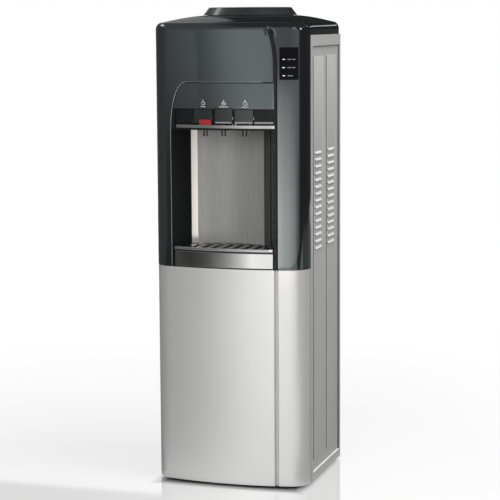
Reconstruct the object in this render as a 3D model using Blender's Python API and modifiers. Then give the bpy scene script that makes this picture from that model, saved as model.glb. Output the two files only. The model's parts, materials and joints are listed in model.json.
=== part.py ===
"""Floor-standing water cooler with a small fridge below, modelled as the assembly that it is.

Metres, +Z up. The front faces -Y and +X is on the viewer's right. The origin is on the floor, under the
middle of the overall box. Pieces are placed from a datum whose Y = 0 is the side panels' front edge.
"""

import math

import bmesh
import bpy
from mathutils import Matrix, Vector

MM = 0.001

# Clearances and wall thicknesses
GAP = 0.3 * MM
RUNNING_GAP = 0.1 * MM
OVERRUN = 6 * MM
WELD = 0.01 * MM
SHEET = 1.0 * MM
MOULDING = 2.5 * MM
THIN_MOULDING = 1.5 * MM

# Cabinet
WIDTH = 310 * MM
PANEL_DEPTH = 227 * MM
FRONT_LIP = 34 * MM
FRONT_BULGE = 20.5 * MM
CORNER_RADIUS = 40 * MM
REAR_SPACE = 38.5 * MM
DEPTH = FRONT_LIP + FRONT_BULGE + PANEL_DEPTH + REAR_SPACE
BASE_HEIGHT = 5 * MM
DOOR_TOP = 430.3 * MM
FRONT_SEAM = 1.0 * MM
PANEL_TOP = 877.6 * MM
FLANGE_WIDTH = 12 * MM
BULGE_STEPS = 10
CORNER_STEPS = 6

# Crescent groove beside the display pillar, and grip groove in the door
GROOVE_FROM_SIDE = 56.8 * MM
GROOVE_WIDTH = 8 * MM
GROOVE_DEPTH = 3.0 * MM
GROOVE_FLANK = 1.4 * MM
GROOVE_BEND_DROP = 77.6 * MM
GROOVE_BEND_HEIGHT = 97 * MM
GROOVE_BEND_SHIFT = 16 * MM
GROOVE_BEND_POWER = 3
GROOVE_BEND_STEPS = 6
GRIP_DEPTH = 5 * MM

# Dispensing bay
BAY_FROM_SIDE = 41.5 * MM
BAY_DROP = 88.6 * MM
BAY_CORNER_X = 32 * MM
BAY_CORNER_Z = 92 * MM
BAY_CORNER_STEPS = 7
BAY_WALL = 2.2 * MM
BAY_FLOOR = 3 * MM
HEADER_HEIGHT = 91.3 * MM
HEADER_WALL = 2.5 * MM
KEY_ROW_HEIGHT = 40.8 * MM
KEY_ROW_MARGIN = 9.1 * MM
KEY_ROW_RECESS = 4.2 * MM
BLANK_MARGINS = (2.7 * MM, 1.0 * MM)
BLANK_GAPS = (1.4 * MM, 2.6 * MM)
SPLASH_MARGINS = (22.5 * MM, 24.3 * MM)
SPLASH_EDGE_Y = 8 * MM
SPLASH_HOLLOW = 28 * MM
SPLASH_SHEET = 0.8 * MM
SPLASH_STEPS = 12
TRIM_HEIGHT = 6.6 * MM
TRIM_INSET = 3.0 * MM
TRIM_THICKNESS = 0.9 * MM
TRIM_MARGIN = 9.5 * MM

# Drip tray and grille
GRILLE_HEIGHT = 37.7 * MM
GRILLE_THICKNESS = 2.6 * MM
GRILLE_RIM_RISE = 0.8 * MM
GRILLE_RIM_DROP = 4.4 * MM
GRILLE_RIM_INSET = 1.2 * MM
GRILLE_RIM_DEPTH = 3.2 * MM
TRAY_FRONT_HEIGHT = 30.1 * MM
TRAY_FRONT_MARGINS = (6 * MM, 3.9 * MM)
TRAY_FRONT_RISE = 1.2 * MM
TRAY_FRONT_INSET = 1.0 * MM
TRAY_FRONT_THICKNESS = 2.2 * MM
TRAY_SIDE_GAP = 2.0 * MM
TRAY_WALL = 2 * MM
TRAY_BACK_GAP = 1.0 * MM
SLOT_LEAN = 22 * MM
SLOT_SHIFT = -6 * MM
SLOT_COUNT = 4
SLOT_PERIOD = 45 * MM
SLOT_WIDTH = 7 * MM
FINE_SLOT_WIDTH = 3 * MM
SLOT_MARGIN = 9 * MM
FINE_SLOT_SPLIT = 5 * MM
FINE_SLOTS = 3

# Keys, child lock and taps: left edge, right edge and height of each key
KEY_SIDES = {"hot": (-64.6 * MM, -26 * MM), "room": (-20.3 * MM, 14.3 * MM), "cold": (19.6 * MM, 55.4 * MM)}
KEY_HEIGHTS = {"hot": 26.4 * MM, "room": 29.4 * MM, "cold": 26.4 * MM}
KEY_RISE = 9.9 * MM
KEY_LIP = 3.6 * MM
KEY_LIP_INSET = 0.4 * MM
KEY_FACE_INSET = 1.7 * MM
KEY_THICKNESS = 2.5 * MM
KEY_CLEARANCE = 0.6 * MM
KEY_ARM_WIDTH = 18 * MM
KEY_ARM_THICKNESS = 3.2 * MM
KEY_AXIS_Y = -12 * MM
KEY_AXIS_RISE = 17.4 * MM
KEY_BARREL_RADIUS = 3.2 * MM
KEY_ROD_RADIUS = 1.5 * MM
KEY_LUG_WIDTH = 3 * MM
KEY_LUG_DEPTH = 12 * MM
KEY_LUG_OFFSET = 6 * MM
LOCK_LEFT = -52.9 * MM
LOCK_RIGHT = -28.3 * MM
LOCK_DROP = 3.4 * MM
LOCK_HEIGHT = 10.6 * MM
LOCK_INSET = 0.1 * MM
LOCK_THICKNESS = 1.1 * MM
LOCK_STEM_WIDTH = 8 * MM
LOCK_TRAVEL = 3 * MM
TAP_X = {"hot": -44.7 * MM, "room": -7.9 * MM, "cold": 34.5 * MM}
TAP_Y = -38 * MM
TAP_RADIUS = 6.6 * MM
TAP_FLANGE_RADIUS = 7.6 * MM
TAP_FLANGE_HEIGHT = 2.5 * MM
TAP_BODY_HEIGHT = 15 * MM
NOZZLE_RADIUS = 4.8 * MM
NOZZLE_BORE = 3.1 * MM
NOZZLE_DROP = 12.2 * MM
NOZZLE_BORE_DEPTH = 20 * MM
SPIGOT_RADIUS = 3 * MM
SPIGOT_LENGTH = 12 * MM
SPIGOT_HEIGHT = 8 * MM
PLUNGER_STEM_RADIUS = 2.0 * MM
PLUNGER_STEM_DEPTH = 8 * MM
PLUNGER_HEAD_RADIUS = 5 * MM
PLUNGER_HEAD_HEIGHT = 1.5 * MM
PLUNGER_DOME_RADIUS = 2.4 * MM
PLUNGER_RISE = 6 * MM

# Display pillar
WINDOW_FROM_SIDE = 14.9 * MM
WINDOW_WIDTH = 33.7 * MM
WINDOW_HEIGHT = 61 * MM
WINDOW_DROP = 22.6 * MM
WINDOW_POCKET = 1.2 * MM
LAMP_MARGIN = 5.2 * MM
LAMP_WIDTH = 5.2 * MM
LAMP_HEIGHT = 2.2 * MM
LAMP_RISES = (7.8 * MM, 23 * MM, 38.4 * MM)
GUIDE_THICKNESS = 1.6 * MM
GUIDE_MARGIN = 4 * MM

# Top cover, collar and bottle seat
COVER_SKIRT = 10 * MM
SHOULDER_INSET = 12 * MM
SHOULDER_HEIGHT = 15 * MM
SHOULDER_STEPS = 4
GROOVE_END_STEP = 2
DOME_STEPS = 3
COVER_REAR_RADIUS = 14 * MM
COVER_REAR_STEPS = 3
COVER_SIDE_STEPS = 5
BOTTLE_FROM_REAR = 114 * MM
COVER_HEIGHT = 37.8 * MM
COLLAR_HEIGHT = 15.6 * MM
COLLAR_BASE_RADIUS = 93.5 * MM
COLLAR_RIM_RADIUS = 82.4 * MM
COLLAR_RIM_WIDTH = 3.4 * MM
COLLAR_SPIGOT = 6 * MM
COVER_HOLE_RADIUS = 86 * MM
ROUND_STEPS = 32
COLLAR_LEDGE = 3.5 * MM
FUNNEL_THROAT_RADIUS = 33 * MM
FUNNEL_CLEARANCE = 7 * MM
FUNNEL_NECK = 9 * MM
GUARD_RADIUS = 23 * MM
GUARD_TIP_RADIUS = 7 * MM
GUARD_HEIGHT = 26 * MM
GUARD_SHOULDER = 12 * MM
GUARD_FLANGE = 3 * MM

# Cold tank and foam jacket
TANK_SHELF_RISE = 21.3 * MM
TANK_RADIUS = 66 * MM
TANK_WALL = 1.2 * MM
TANK_TOP_GAP = 4.4 * MM
TANK_ROUNDING = 8 * MM
JACKET_SIDE = 190 * MM
JACKET_FLOOR = 20 * MM
JACKET_DROP = 9.6 * MM
JACKET_CHAMFER = 18 * MM

# Hot tank
HOT_X = 48 * MM
HOT_FROM_REAR = 99 * MM
HOT_RADIUS = 44 * MM
HOT_HEIGHT = 150 * MM
HOT_DOME = 12 * MM
HOT_STAND_HEIGHT = 46 * MM
HOT_STAND_RADIUS = 38 * MM
HOT_STAND_WALL = 2 * MM
HOT_STUB_RADIUS = 4 * MM
HOT_STUB_LENGTH = 12 * MM
TUBE_RADIUS = 4 * MM
TUBE_STEPS = 2
SHELF_OVERHANG = 3 * MM

# Side panels
FIELD_FRONT = 15 * MM
FIELD_REAR_MARGIN = 12 * MM
FIELD_BOTTOM = 22.5 * MM
FIELD_TOP_MARGIN = 22.6 * MM
FIELD_RECESS = 3.0 * MM
PAD_RISE = 1.0 * MM
PAD_SHARES = ((0.055, 0.45), (0.5425, 0.925))
PAD_BOTTOM = 43 * MM
PAD_TOP_MARGIN = 18.3 * MM
STEP_RUN = 1.6 * MM
LOUVRE_SHARES = ((0.1, 0.34), (0.575, 0.82))
LOUVRE_COUNT = 15
LOUVRE_DROP = 182.7 * MM
LOUVRE_PITCH = 13.3 * MM
LOUVRE_HEIGHT = 6 * MM
LOUVRE_DEPTH = 2.0 * MM
LOUVRE_SHEET = 0.6 * MM

# Floor of the cabinet and decks
PAN_RIM = 8 * MM
FOOT_RADIUS = 14 * MM
FOOT_STUD_RADIUS = 4 * MM
FOOT_STUD_HEIGHT = 10 * MM
FOOT_INSET_X = 30 * MM
FOOT_FRONT_Y = 34 * MM
FOOT_FROM_REAR = 27 * MM
FOAM_REAR_GAP = 3 * MM
DECK_RIM = 12 * MM

# Fridge cabinet
LINER_SIDE_WALL = 37 * MM
LINER_FLOOR_RISE = 29 * MM
LINER_CEILING_DROP = 28.3 * MM
LINER_REAR_WALL = 41 * MM
LINER_FLANGE_MARGIN = 14 * MM
LINER_FLANGE_RISE = 9.5 * MM
LINER_FLANGE_DROP = 3.3 * MM
LINER_FLANGE_Y = 1.5 * MM
HUMP_WALL = 24 * MM
MACHINE_TOP = 172 * MM
MACHINE_FROM_REAR = 117 * MM
EVAPORATOR_DEPTH = 120 * MM
EVAPORATOR_SIDE_GAP = 14 * MM
EVAPORATOR_DROP = 34 * MM
EVAPORATOR_SHEET = 1.6 * MM
EVAPORATOR_HANGER = 10 * MM
SHELF_RISE = 36 * MM
SHELF_BAR = 3 * MM
SHELF_BARS = 11
SHELF_FRONT_Y = 26 * MM
SHELF_LEDGE = 7 * MM
SHELF_LEDGE_HEIGHT = 5 * MM

# Fridge door
DOOR_SHEET = 1.2 * MM
DOOR_REAR_GAP = 1.0 * MM
DOOR_SIDE_INSET = 0.5 * MM
DOOR_RETURN = 15 * MM
DOOR_HINGE_ROUNDING = 7.5 * MM
DOOR_LOCK_ROUNDING = 2 * MM
HINGE_FROM_SIDE = 8 * MM
HINGE_FROM_REAR = 12 * MM
HINGE_PIN_RADIUS = 3 * MM
HINGE_PIN_LENGTH = 8.5 * MM
HINGE_PLATE = 1.8 * MM
HINGE_PLATE_SPAN = 27 * MM
HINGE_PLATE_WIDTH = 9 * MM
HINGE_PLATE_REACH = 17 * MM
HINGE_TOP_REACH = 50 * MM
CAP_THICKNESS = 10 * MM
DOOR_PANEL_Y = -2.5 * MM
DOOR_PANEL_THICKNESS = 1.5 * MM
DYKE_MARGIN = 50 * MM
DYKE_RISE = 47 * MM
DYKE_DROP = 46.3 * MM
DYKE_WIDTH = 10 * MM
DYKE_REACH = 12 * MM
GASKET_MARGIN = 18 * MM
GASKET_RISE = 14 * MM
GASKET_DROP = 8.3 * MM
GASKET_WIDTH = 12 * MM

# Rear panel and what it carries
REAR_FRAME_GAP = 0.3 * MM
REAR_SLOT_COUNT = 9
REAR_SLOT_HEIGHT = 4 * MM
REAR_SLOT_PITCH = 14 * MM
REAR_SLOT_WIDTH = 150 * MM
REAR_SLOT_DROP = 287.6 * MM
SWITCH_INSETS = {"heater": 43 * MM, "cooling": 71 * MM}
SWITCH_DROP = 62.6 * MM
SWITCH_WIDTH = 14 * MM
SWITCH_HEIGHT = 21 * MM
SWITCH_BEZEL = 2 * MM
SWITCH_DEPTH = 14 * MM
DIAL_INSET = 115 * MM
DIAL_RADIUS = 16 * MM
DIAL_THICKNESS = 10 * MM
DIAL_SHAFT_RADIUS = 3 * MM
DIAL_FLUTES = 12
DIAL_FLUTE_RADIUS = 2.2 * MM
DIAL_SHAFT_LENGTH = 5 * MM
INLET_INSET = 37 * MM
INLET_RISE = 39.7 * MM
INLET_WIDTH = 27 * MM
INLET_HEIGHT = 20 * MM
INLET_DEPTH = 18 * MM
INLET_FLANGE = 3 * MM

# Condenser and compressor
CONDENSER_TUBE = 2.4 * MM
CONDENSER_ROWS = 11
CONDENSER_PITCH = 44 * MM
CONDENSER_RISE = 18 * MM
CONDENSER_MARGIN = 43 * MM
CONDENSER_BEND_POINTS = 5
WIRE_SIZE = 1.6 * MM
WIRE_COUNT = 17
WIRE_MARGIN = 16 * MM
WIRE_OVERHANG = 16 * MM
BRACKET_MARGIN = 35 * MM
BRACKET_THICKNESS = 1.2 * MM
BRACKET_WIDTH = 12 * MM
BRACKET_HEIGHT = 12 * MM
COMPRESSOR_X = -18 * MM
COMPRESSOR_FROM_REAR = 57 * MM
COMPRESSOR_RADIUS = 50 * MM
COMPRESSOR_HEIGHT = 118 * MM
COMPRESSOR_SEAM = 2.5 * MM
COMPRESSOR_FOOT = 124 * MM
COMPRESSOR_FOOT_DEPTH = 86 * MM
COMPRESSOR_FOOT_SHEET = 2.5 * MM
STUB_RADIUS = 3.2 * MM
STUB_LENGTH = 14 * MM

# Places that follow from the values above
HALF_WIDTH = WIDTH / 2
PANEL_FRONT_Y = -DEPTH / 2 + FRONT_LIP + FRONT_BULGE
BULGE_RADIUS = (HALF_WIDTH**2 + FRONT_BULGE**2) / (2 * FRONT_BULGE)
BULGE_CENTRE_Y = BULGE_RADIUS - FRONT_LIP - FRONT_BULGE
CORNER_X = HALF_WIDTH - CORNER_RADIUS
CORNER_Y = BULGE_CENTRE_Y - math.sqrt((BULGE_RADIUS - CORNER_RADIUS) ** 2 - CORNER_X**2)
CORNER_TURN = math.atan2(CORNER_X, BULGE_CENTRE_Y - CORNER_Y)
FASCIA_BOTTOM = DOOR_TOP + FRONT_SEAM
GROOVE_X = HALF_WIDTH - GROOVE_FROM_SIDE
GROOVE_BEND_START = PANEL_TOP - GROOVE_BEND_DROP
BAY_LEFT = -HALF_WIDTH + BAY_FROM_SIDE
BAY_RIGHT = GROOVE_X - GROOVE_WIDTH / 2 + GROOVE_FLANK + GAP
BAY_TOP = PANEL_TOP - BAY_DROP
HEADER_BOTTOM = BAY_TOP - HEADER_HEIGHT
CEILING_TOP = HEADER_BOTTOM + BAY_FLOOR
KEY_ROW_TOP = HEADER_BOTTOM + KEY_ROW_HEIGHT
KEY_ROW_LEFT = BAY_LEFT + KEY_ROW_MARGIN
KEY_BOTTOM = CEILING_TOP + KEY_RISE
KEY_TOPS = {kind: KEY_BOTTOM + height for kind, height in KEY_HEIGHTS.items()}
KEY_AXIS_Z = KEY_BOTTOM + KEY_AXIS_RISE
BLANK_SIDES = (
    (KEY_ROW_LEFT + BLANK_MARGINS[0], KEY_SIDES["hot"][0] - BLANK_GAPS[0]),
    (KEY_SIDES["cold"][1] + BLANK_GAPS[1], BAY_RIGHT - BLANK_MARGINS[1]),
)
LOCK_BOTTOM = KEY_BOTTOM - LOCK_DROP
LOCK_TOP = LOCK_BOTTOM + LOCK_HEIGHT
TRIM_LEFT = BAY_LEFT + TRIM_MARGIN
GRILLE_TOP = FASCIA_BOTTOM + GRILLE_HEIGHT
GRILLE_RIM_TOP = GRILLE_TOP + GRILLE_RIM_RISE
GRILLE_RIM_BOTTOM = GRILLE_TOP - GRILLE_RIM_DROP
TRAY_FRONT_TOP = FASCIA_BOTTOM + TRAY_FRONT_HEIGHT
TRAY_FRONT_LEFT = BAY_LEFT + TRAY_FRONT_MARGINS[0]
TRAY_FRONT_RIGHT = BAY_RIGHT - TRAY_FRONT_MARGINS[1]
WINDOW_RIGHT = HALF_WIDTH - WINDOW_FROM_SIDE
WINDOW_LEFT = WINDOW_RIGHT - WINDOW_WIDTH
WINDOW_TOP = PANEL_TOP - WINDOW_DROP
WINDOW_BOTTOM = WINDOW_TOP - WINDOW_HEIGHT
LAMP_LEFT = WINDOW_LEFT + LAMP_MARGIN
LAMP_HEIGHTS = [WINDOW_BOTTOM + rise for rise in LAMP_RISES]
BOTTLE_AXIS_Y = PANEL_DEPTH - BOTTLE_FROM_REAR
COLLAR_BASE_Z = PANEL_TOP + COVER_HEIGHT
COLLAR_TOP_Z = COLLAR_BASE_Z + COLLAR_HEIGHT
TANK_SHELF_Z = CEILING_TOP + TANK_SHELF_RISE
JACKET_BOTTOM = TANK_SHELF_Z + SHEET + GAP
JACKET_TOP_Z = PANEL_TOP - JACKET_DROP
TANK_BOTTOM = JACKET_BOTTOM + JACKET_FLOOR + GAP
TANK_HEIGHT = JACKET_TOP_Z - TANK_TOP_GAP - TANK_BOTTOM
FUNNEL_THROAT_Z = JACKET_TOP_Z + FUNNEL_CLEARANCE + FUNNEL_NECK
HOT_Y = PANEL_DEPTH - HOT_FROM_REAR
FIELD_REAR = PANEL_DEPTH - FIELD_REAR_MARGIN
FIELD_TOP = PANEL_TOP - FIELD_TOP_MARGIN
PAD_TOP = FIELD_TOP - PAD_TOP_MARGIN
LOUVRE_TOP = PAD_TOP - LOUVRE_DROP
FIELD_SPAN = FIELD_REAR - FIELD_FRONT
PAD_SIDES = [[FIELD_FRONT + FIELD_SPAN * share for share in pair] for pair in PAD_SHARES]
LOUVRE_SIDES = [[FIELD_FRONT + FIELD_SPAN * share for share in pair] for pair in LOUVRE_SHARES]
DOOR_BOTTOM = BASE_HEIGHT
HINGE_X = -HALF_WIDTH + HINGE_FROM_SIDE
HINGE_Y = -HINGE_FROM_REAR
HINGE_PLATE_INNER_X = HALF_WIDTH - HINGE_PLATE_SPAN
FOOT_REAR_Y = PANEL_DEPTH - FOOT_FROM_REAR
PAN_TOP = BASE_HEIGHT + SHEET
DECK_TOP = FASCIA_BOTTOM - GAP
DECK_BOTTOM = DECK_TOP - SHEET
LINER_HALF_WIDTH = HALF_WIDTH - LINER_SIDE_WALL
LINER_BOTTOM = BASE_HEIGHT + LINER_FLOOR_RISE
LINER_TOP = DOOR_TOP - LINER_CEILING_DROP
LINER_DEPTH = PANEL_DEPTH - LINER_REAR_WALL
LINER_FLANGE_HALF_WIDTH = HALF_WIDTH - LINER_FLANGE_MARGIN
LINER_FLANGE_BOTTOM = BASE_HEIGHT + LINER_FLANGE_RISE
LINER_FLANGE_TOP = DOOR_TOP - LINER_FLANGE_DROP
MACHINE_FRONT = PANEL_DEPTH - MACHINE_FROM_REAR
HUMP_FRONT = MACHINE_FRONT - HUMP_WALL
HUMP_TOP = MACHINE_TOP + HUMP_WALL
SHELF_Z = HUMP_TOP + SHELF_RISE
DYKE_HALF_WIDTH = HALF_WIDTH - DYKE_MARGIN
DYKE_BOTTOM = BASE_HEIGHT + DYKE_RISE
DYKE_TOP = DOOR_TOP - DYKE_DROP
GASKET_HALF_WIDTH = HALF_WIDTH - GASKET_MARGIN
GASKET_BOTTOM = BASE_HEIGHT + GASKET_RISE
GASKET_TOP = DOOR_TOP - GASKET_DROP
REAR_FACE = PANEL_DEPTH - SHEET - REAR_FRAME_GAP
REAR_PANEL_FRONT = REAR_FACE - SHEET
REAR_SLOT_BOTTOM = PANEL_TOP - REAR_SLOT_DROP
SWITCH_X = {kind: -HALF_WIDTH + inset for kind, inset in SWITCH_INSETS.items()}
SWITCH_Z = PANEL_TOP - SWITCH_DROP
DIAL_X = -HALF_WIDTH + DIAL_INSET
INLET_X = -HALF_WIDTH + INLET_INSET
INLET_Z = DOOR_TOP + INLET_RISE
CONDENSER_BOTTOM = MACHINE_TOP + CONDENSER_RISE
CONDENSER_HALF_WIDTH = HALF_WIDTH - CONDENSER_MARGIN
WIRE_PITCH = 2 * (CONDENSER_HALF_WIDTH - WIRE_MARGIN) / (WIRE_COUNT - 1)
BRACKET_X = HALF_WIDTH - BRACKET_MARGIN
COMPRESSOR_Y = PANEL_DEPTH - COMPRESSOR_FROM_REAR
SPLASH_LEFT = BAY_LEFT + SPLASH_MARGINS[0]
SPLASH_RIGHT = BAY_RIGHT - SPLASH_MARGINS[1]
SPLASH_CENTRE_X = (SPLASH_LEFT + SPLASH_RIGHT) / 2
SPLASH_HALF = (SPLASH_RIGHT - SPLASH_LEFT) / 2
SPLASH_RADIUS = (SPLASH_HALF**2 + SPLASH_HOLLOW**2) / (2 * SPLASH_HOLLOW)
SPLASH_CENTRE_Y = SPLASH_EDGE_Y + SPLASH_HOLLOW - SPLASH_RADIUS
SPLASH_TURN = math.asin(SPLASH_HALF / SPLASH_RADIUS)
TAP_BASE_Z = CEILING_TOP + GAP
TAP_TOP_Z = TAP_BASE_Z + TAP_BODY_HEIGHT
PLUNGER_HEAD_Z = TAP_TOP_Z + PLUNGER_RISE
PLUNGER_TOP_Z = PLUNGER_HEAD_Z + PLUNGER_HEAD_HEIGHT + PLUNGER_DOME_RADIUS
KEY_ARM_BOTTOM = PLUNGER_TOP_Z + GAP

# Colour, roughness and metallic value of each finish
FINISHES = {
    "graphite_gloss": ((0.045, 0.060, 0.060), 0.18, 0.0),
    "black_plastic": ((0.012, 0.014, 0.015), 0.4, 0.0),
    "black_gloss": ((0.004, 0.004, 0.005), 0.08, 0.0),
    "silver_paint": ((0.62, 0.62, 0.61), 0.35, 0.4),
    "grey_paint": ((0.40, 0.40, 0.38), 0.45, 0.2),
    "dark_paint": ((0.03, 0.03, 0.03), 0.5, 0.0),
    "brushed_steel": ((0.42, 0.42, 0.41), 0.32, 1.0),
    "bright_steel": ((0.62, 0.62, 0.61), 0.2, 1.0),
    "zinc": ((0.52, 0.53, 0.54), 0.38, 1.0),
    "red_plastic": ((0.36, 0.008, 0.012), 0.3, 0.0),
    "white_plastic": ((0.78, 0.78, 0.76), 0.4, 0.0),
    "grey_plastic": ((0.2, 0.2, 0.2), 0.45, 0.0),
    "lamp_green": ((0.03, 0.5, 0.08), 0.2, 0.0),
    "foam": ((0.82, 0.8, 0.72), 0.9, 0.0),
    "silicone": ((0.75, 0.76, 0.76), 0.45, 0.0),
    "rubber": ((0.02, 0.02, 0.02), 0.8, 0.0),
}

PARTS = bpy.data.collections.new("water_cooler")
CUTTERS = bpy.data.collections.new("cutters")


def clear_scene():
    """Remove what the scene holds and link the two collections."""
    for thing in list(bpy.data.objects):
        bpy.data.objects.remove(thing, do_unlink=True)
    bpy.context.scene.collection.children.link(PARTS)
    bpy.context.scene.collection.children.link(CUTTERS)


def add_datum(name, place, parent=None):
    """Add an empty that others are placed from."""
    datum = bpy.data.objects.new(name, None)
    datum.location = place
    datum.parent = parent
    PARTS.objects.link(datum)
    return datum


def make_finish(name, finish):
    """Make a material of the part's own from one of the finishes."""
    colour, roughness, metallic = FINISHES[finish]
    material = bpy.data.materials.new(name + "_finish")
    material.use_nodes = True
    shader = material.node_tree.nodes["Principled BSDF"]
    shader.inputs["Base Color"].default_value = (*colour, 1)
    shader.inputs["Roughness"].default_value = roughness
    shader.inputs["Metallic"].default_value = metallic
    material.diffuse_color = (*colour, 1)
    return material


def add_part(name, mesh, finish, parent, place=(0, 0, 0), smooth=False):
    """Add a named sub-part with its own material."""
    part = bpy.data.objects.new(name, mesh)
    part.location = place
    part.parent = parent
    PARTS.objects.link(part)
    if not mesh.materials:
        mesh.materials.append(make_finish(name, finish))
    if smooth:
        mesh.shade_smooth()
        mesh.set_sharp_from_angle(angle=math.radians(35))
    return part


def combine(part, tool_mesh, operation="DIFFERENCE"):
    """Cut, join or intersect a part with a tool given in the part's own coordinates."""
    tool = bpy.data.objects.new(part.name + "_tool", tool_mesh)
    tool.location = part.location
    tool.parent = part.parent
    tool.hide_render = True
    tool.display_type = "WIRE"
    CUTTERS.objects.link(tool)
    step = part.modifiers.new(operation.lower(), "BOOLEAN")
    step.operation = operation
    step.solver = "EXACT"
    step.object = tool
    return step


def to_mesh(bm, name="shape"):
    mesh = bpy.data.meshes.new(name)
    bm.to_mesh(mesh)
    bm.free()
    return mesh


def box(low, high):
    """A box between two corners."""
    bm = bmesh.new()
    bmesh.ops.create_cube(bm, size=1)
    size = Vector(high) - Vector(low)
    centre = (Vector(high) + Vector(low)) / 2
    bmesh.ops.transform(bm, matrix=Matrix.Translation(centre) @ Matrix.Diagonal((*size, 1)), verts=bm.verts)
    return to_mesh(bm, "box")


def rod(start, end, radius, segments=16, end_radius=None):
    """A cylinder or cone between two points."""
    start, end = Vector(start), Vector(end)
    bm = bmesh.new()
    bmesh.ops.create_cone(
        bm,
        cap_ends=True,
        segments=segments,
        radius1=radius,
        radius2=radius if end_radius is None else end_radius,
        depth=(end - start).length,
    )
    turn = (end - start).to_track_quat("Z", "Y").to_matrix().to_4x4()
    bmesh.ops.transform(bm, matrix=Matrix.Translation((start + end) / 2) @ turn, verts=bm.verts)
    return to_mesh(bm, "rod")


def merged(meshes):
    """Several closed meshes as one mesh of separate bodies, for use as one tool."""
    bm = bmesh.new()
    for mesh in meshes:
        bm.from_mesh(mesh)
    return to_mesh(bm, "bodies")


def moved(mesh, shift):
    """The mesh shifted by a vector."""
    mesh.transform(Matrix.Translation(shift))
    return mesh


def curve_mesh(curve):
    """Turn a curve into a welded mesh."""
    holder = bpy.data.objects.new("curve", curve)
    bpy.context.scene.collection.objects.link(holder)
    graph = bpy.context.evaluated_depsgraph_get()
    mesh = bpy.data.meshes.new_from_object(holder.evaluated_get(graph))
    bpy.data.objects.remove(holder, do_unlink=True)
    bm = bmesh.new()
    bm.from_mesh(mesh)
    bmesh.ops.remove_doubles(bm, verts=bm.verts, dist=WELD)
    bmesh.ops.recalc_face_normals(bm, faces=bm.faces)
    return to_mesh(bm, "from_curve")


AXIS_TURNS = {
    "X": Matrix(((0, 0, 1, 0), (1, 0, 0, 0), (0, 1, 0, 0), (0, 0, 0, 1))),
    "Y": Matrix(((1, 0, 0, 0), (0, 0, -1, 0), (0, 1, 0, 0), (0, 0, 0, 1))),
    "Z": Matrix.Identity(4),
}


def extrusion(outlines, low, high, axis="Z"):
    """Extrude flat outlines, the first with the others as holes, from low to high along an axis.

    An outline's pairs are (x, y) for axis Z, (x, z) for axis Y and (y, z) for axis X.
    """
    curve = bpy.data.curves.new("outline", "CURVE")
    curve.dimensions = "2D"
    curve.fill_mode = "BOTH"
    curve.extrude = (high - low) / 2
    for outline in outlines:
        spline = curve.splines.new("POLY")
        spline.points.add(len(outline) - 1)
        for point, (across, up) in zip(spline.points, outline):
            point.co = (across, up, 0, 1)
        spline.use_cyclic_u = True
    mesh = curve_mesh(curve)
    middle = (low + high) / 2
    shift = {"X": (middle, 0, 0), "Y": (0, middle, 0), "Z": (0, 0, middle)}[axis]
    mesh.transform(Matrix.Translation(shift) @ AXIS_TURNS[axis])
    return mesh


def pipe(points, radius, resolution=2, cyclic=False):
    """A round tube along points, closed at its ends."""
    curve = bpy.data.curves.new("route", "CURVE")
    curve.dimensions = "3D"
    curve.bevel_depth = radius
    curve.bevel_resolution = resolution
    curve.use_fill_caps = True
    spline = curve.splines.new("POLY")
    spline.points.add(len(points) - 1)
    for point, place in zip(spline.points, points):
        point.co = (*place, 1)
    spline.use_cyclic_u = cyclic
    return curve_mesh(curve)


def smooth_route(points, steps):
    """A smooth curve through the route's points, as Catmull-Rom pieces."""
    knots = [Vector(p) for p in points]
    knots = [2 * knots[0] - knots[1], *knots, 2 * knots[-1] - knots[-2]]
    route = []
    for before, here, after, beyond in zip(knots, knots[1:], knots[2:], knots[3:]):
        for step in range(steps):
            t = step / steps
            a = 2 * here
            b = after - before
            c = 2 * before - 5 * here + 4 * after - beyond
            d = -before + 3 * here - 3 * after + beyond
            route.append((a + b * t + c * t**2 + d * t**3) / 2)
    route.append(knots[-2])
    return route


def turned(profile, steps, closed=False):
    """Turn a profile of (radius, z) pairs about Z, as a mesh with its Screw applied."""
    bm = bmesh.new()
    corners = [bm.verts.new((radius, 0, height)) for radius, height in profile]
    for first, second in zip(corners, corners[1:]):
        bm.edges.new((first, second))
    if closed:
        bm.edges.new((corners[-1], corners[0]))
    holder = bpy.data.objects.new("profile", to_mesh(bm))
    bpy.context.scene.collection.objects.link(holder)
    screw = holder.modifiers.new("turn", "SCREW")
    screw.steps = steps
    screw.render_steps = steps
    screw.use_merge_vertices = True
    screw.merge_threshold = WELD
    screw.use_normal_calculate = True
    graph = bpy.context.evaluated_depsgraph_get()
    mesh = bpy.data.meshes.new_from_object(holder.evaluated_get(graph))
    bpy.data.objects.remove(holder, do_unlink=True)
    bm = bmesh.new()
    bm.from_mesh(mesh)
    bmesh.ops.remove_doubles(bm, verts=bm.verts, dist=WELD)
    bmesh.ops.recalc_face_normals(bm, faces=bm.faces)
    return to_mesh(bm, "turned")


def loft(rows, closed=False):
    """Bridge rows of points into one open surface."""
    bm = bmesh.new()
    lines = [[bm.verts.new(point) for point in row] for row in rows]
    for lower, upper in zip(lines, lines[1:]):
        count = len(lower)
        for i in range(count if closed else count - 1):
            j = (i + 1) % count
            bm.faces.new((lower[i], lower[j], upper[j], upper[i]))
    return to_mesh(bm, "loft")


def add_thickness(part, thickness):
    """Give an open surface its wall, inwards from its outer face."""
    step = part.modifiers.new("wall", "SOLIDIFY")
    step.thickness = thickness
    step.offset = -1
    step.use_even_offset = True
    return step


def front_point(turn, inset):
    """The point on the front's plan line, drawn in by an inset, whose normal turns from -Y by an angle."""
    if abs(turn) <= CORNER_TURN:
        radius = BULGE_RADIUS - inset
        return radius * math.sin(turn), BULGE_CENTRE_Y - radius * math.cos(turn)
    side = math.copysign(1, turn)
    radius = CORNER_RADIUS - inset
    return side * (CORNER_X + radius * math.sin(abs(turn))), CORNER_Y - radius * math.cos(turn)


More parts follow.
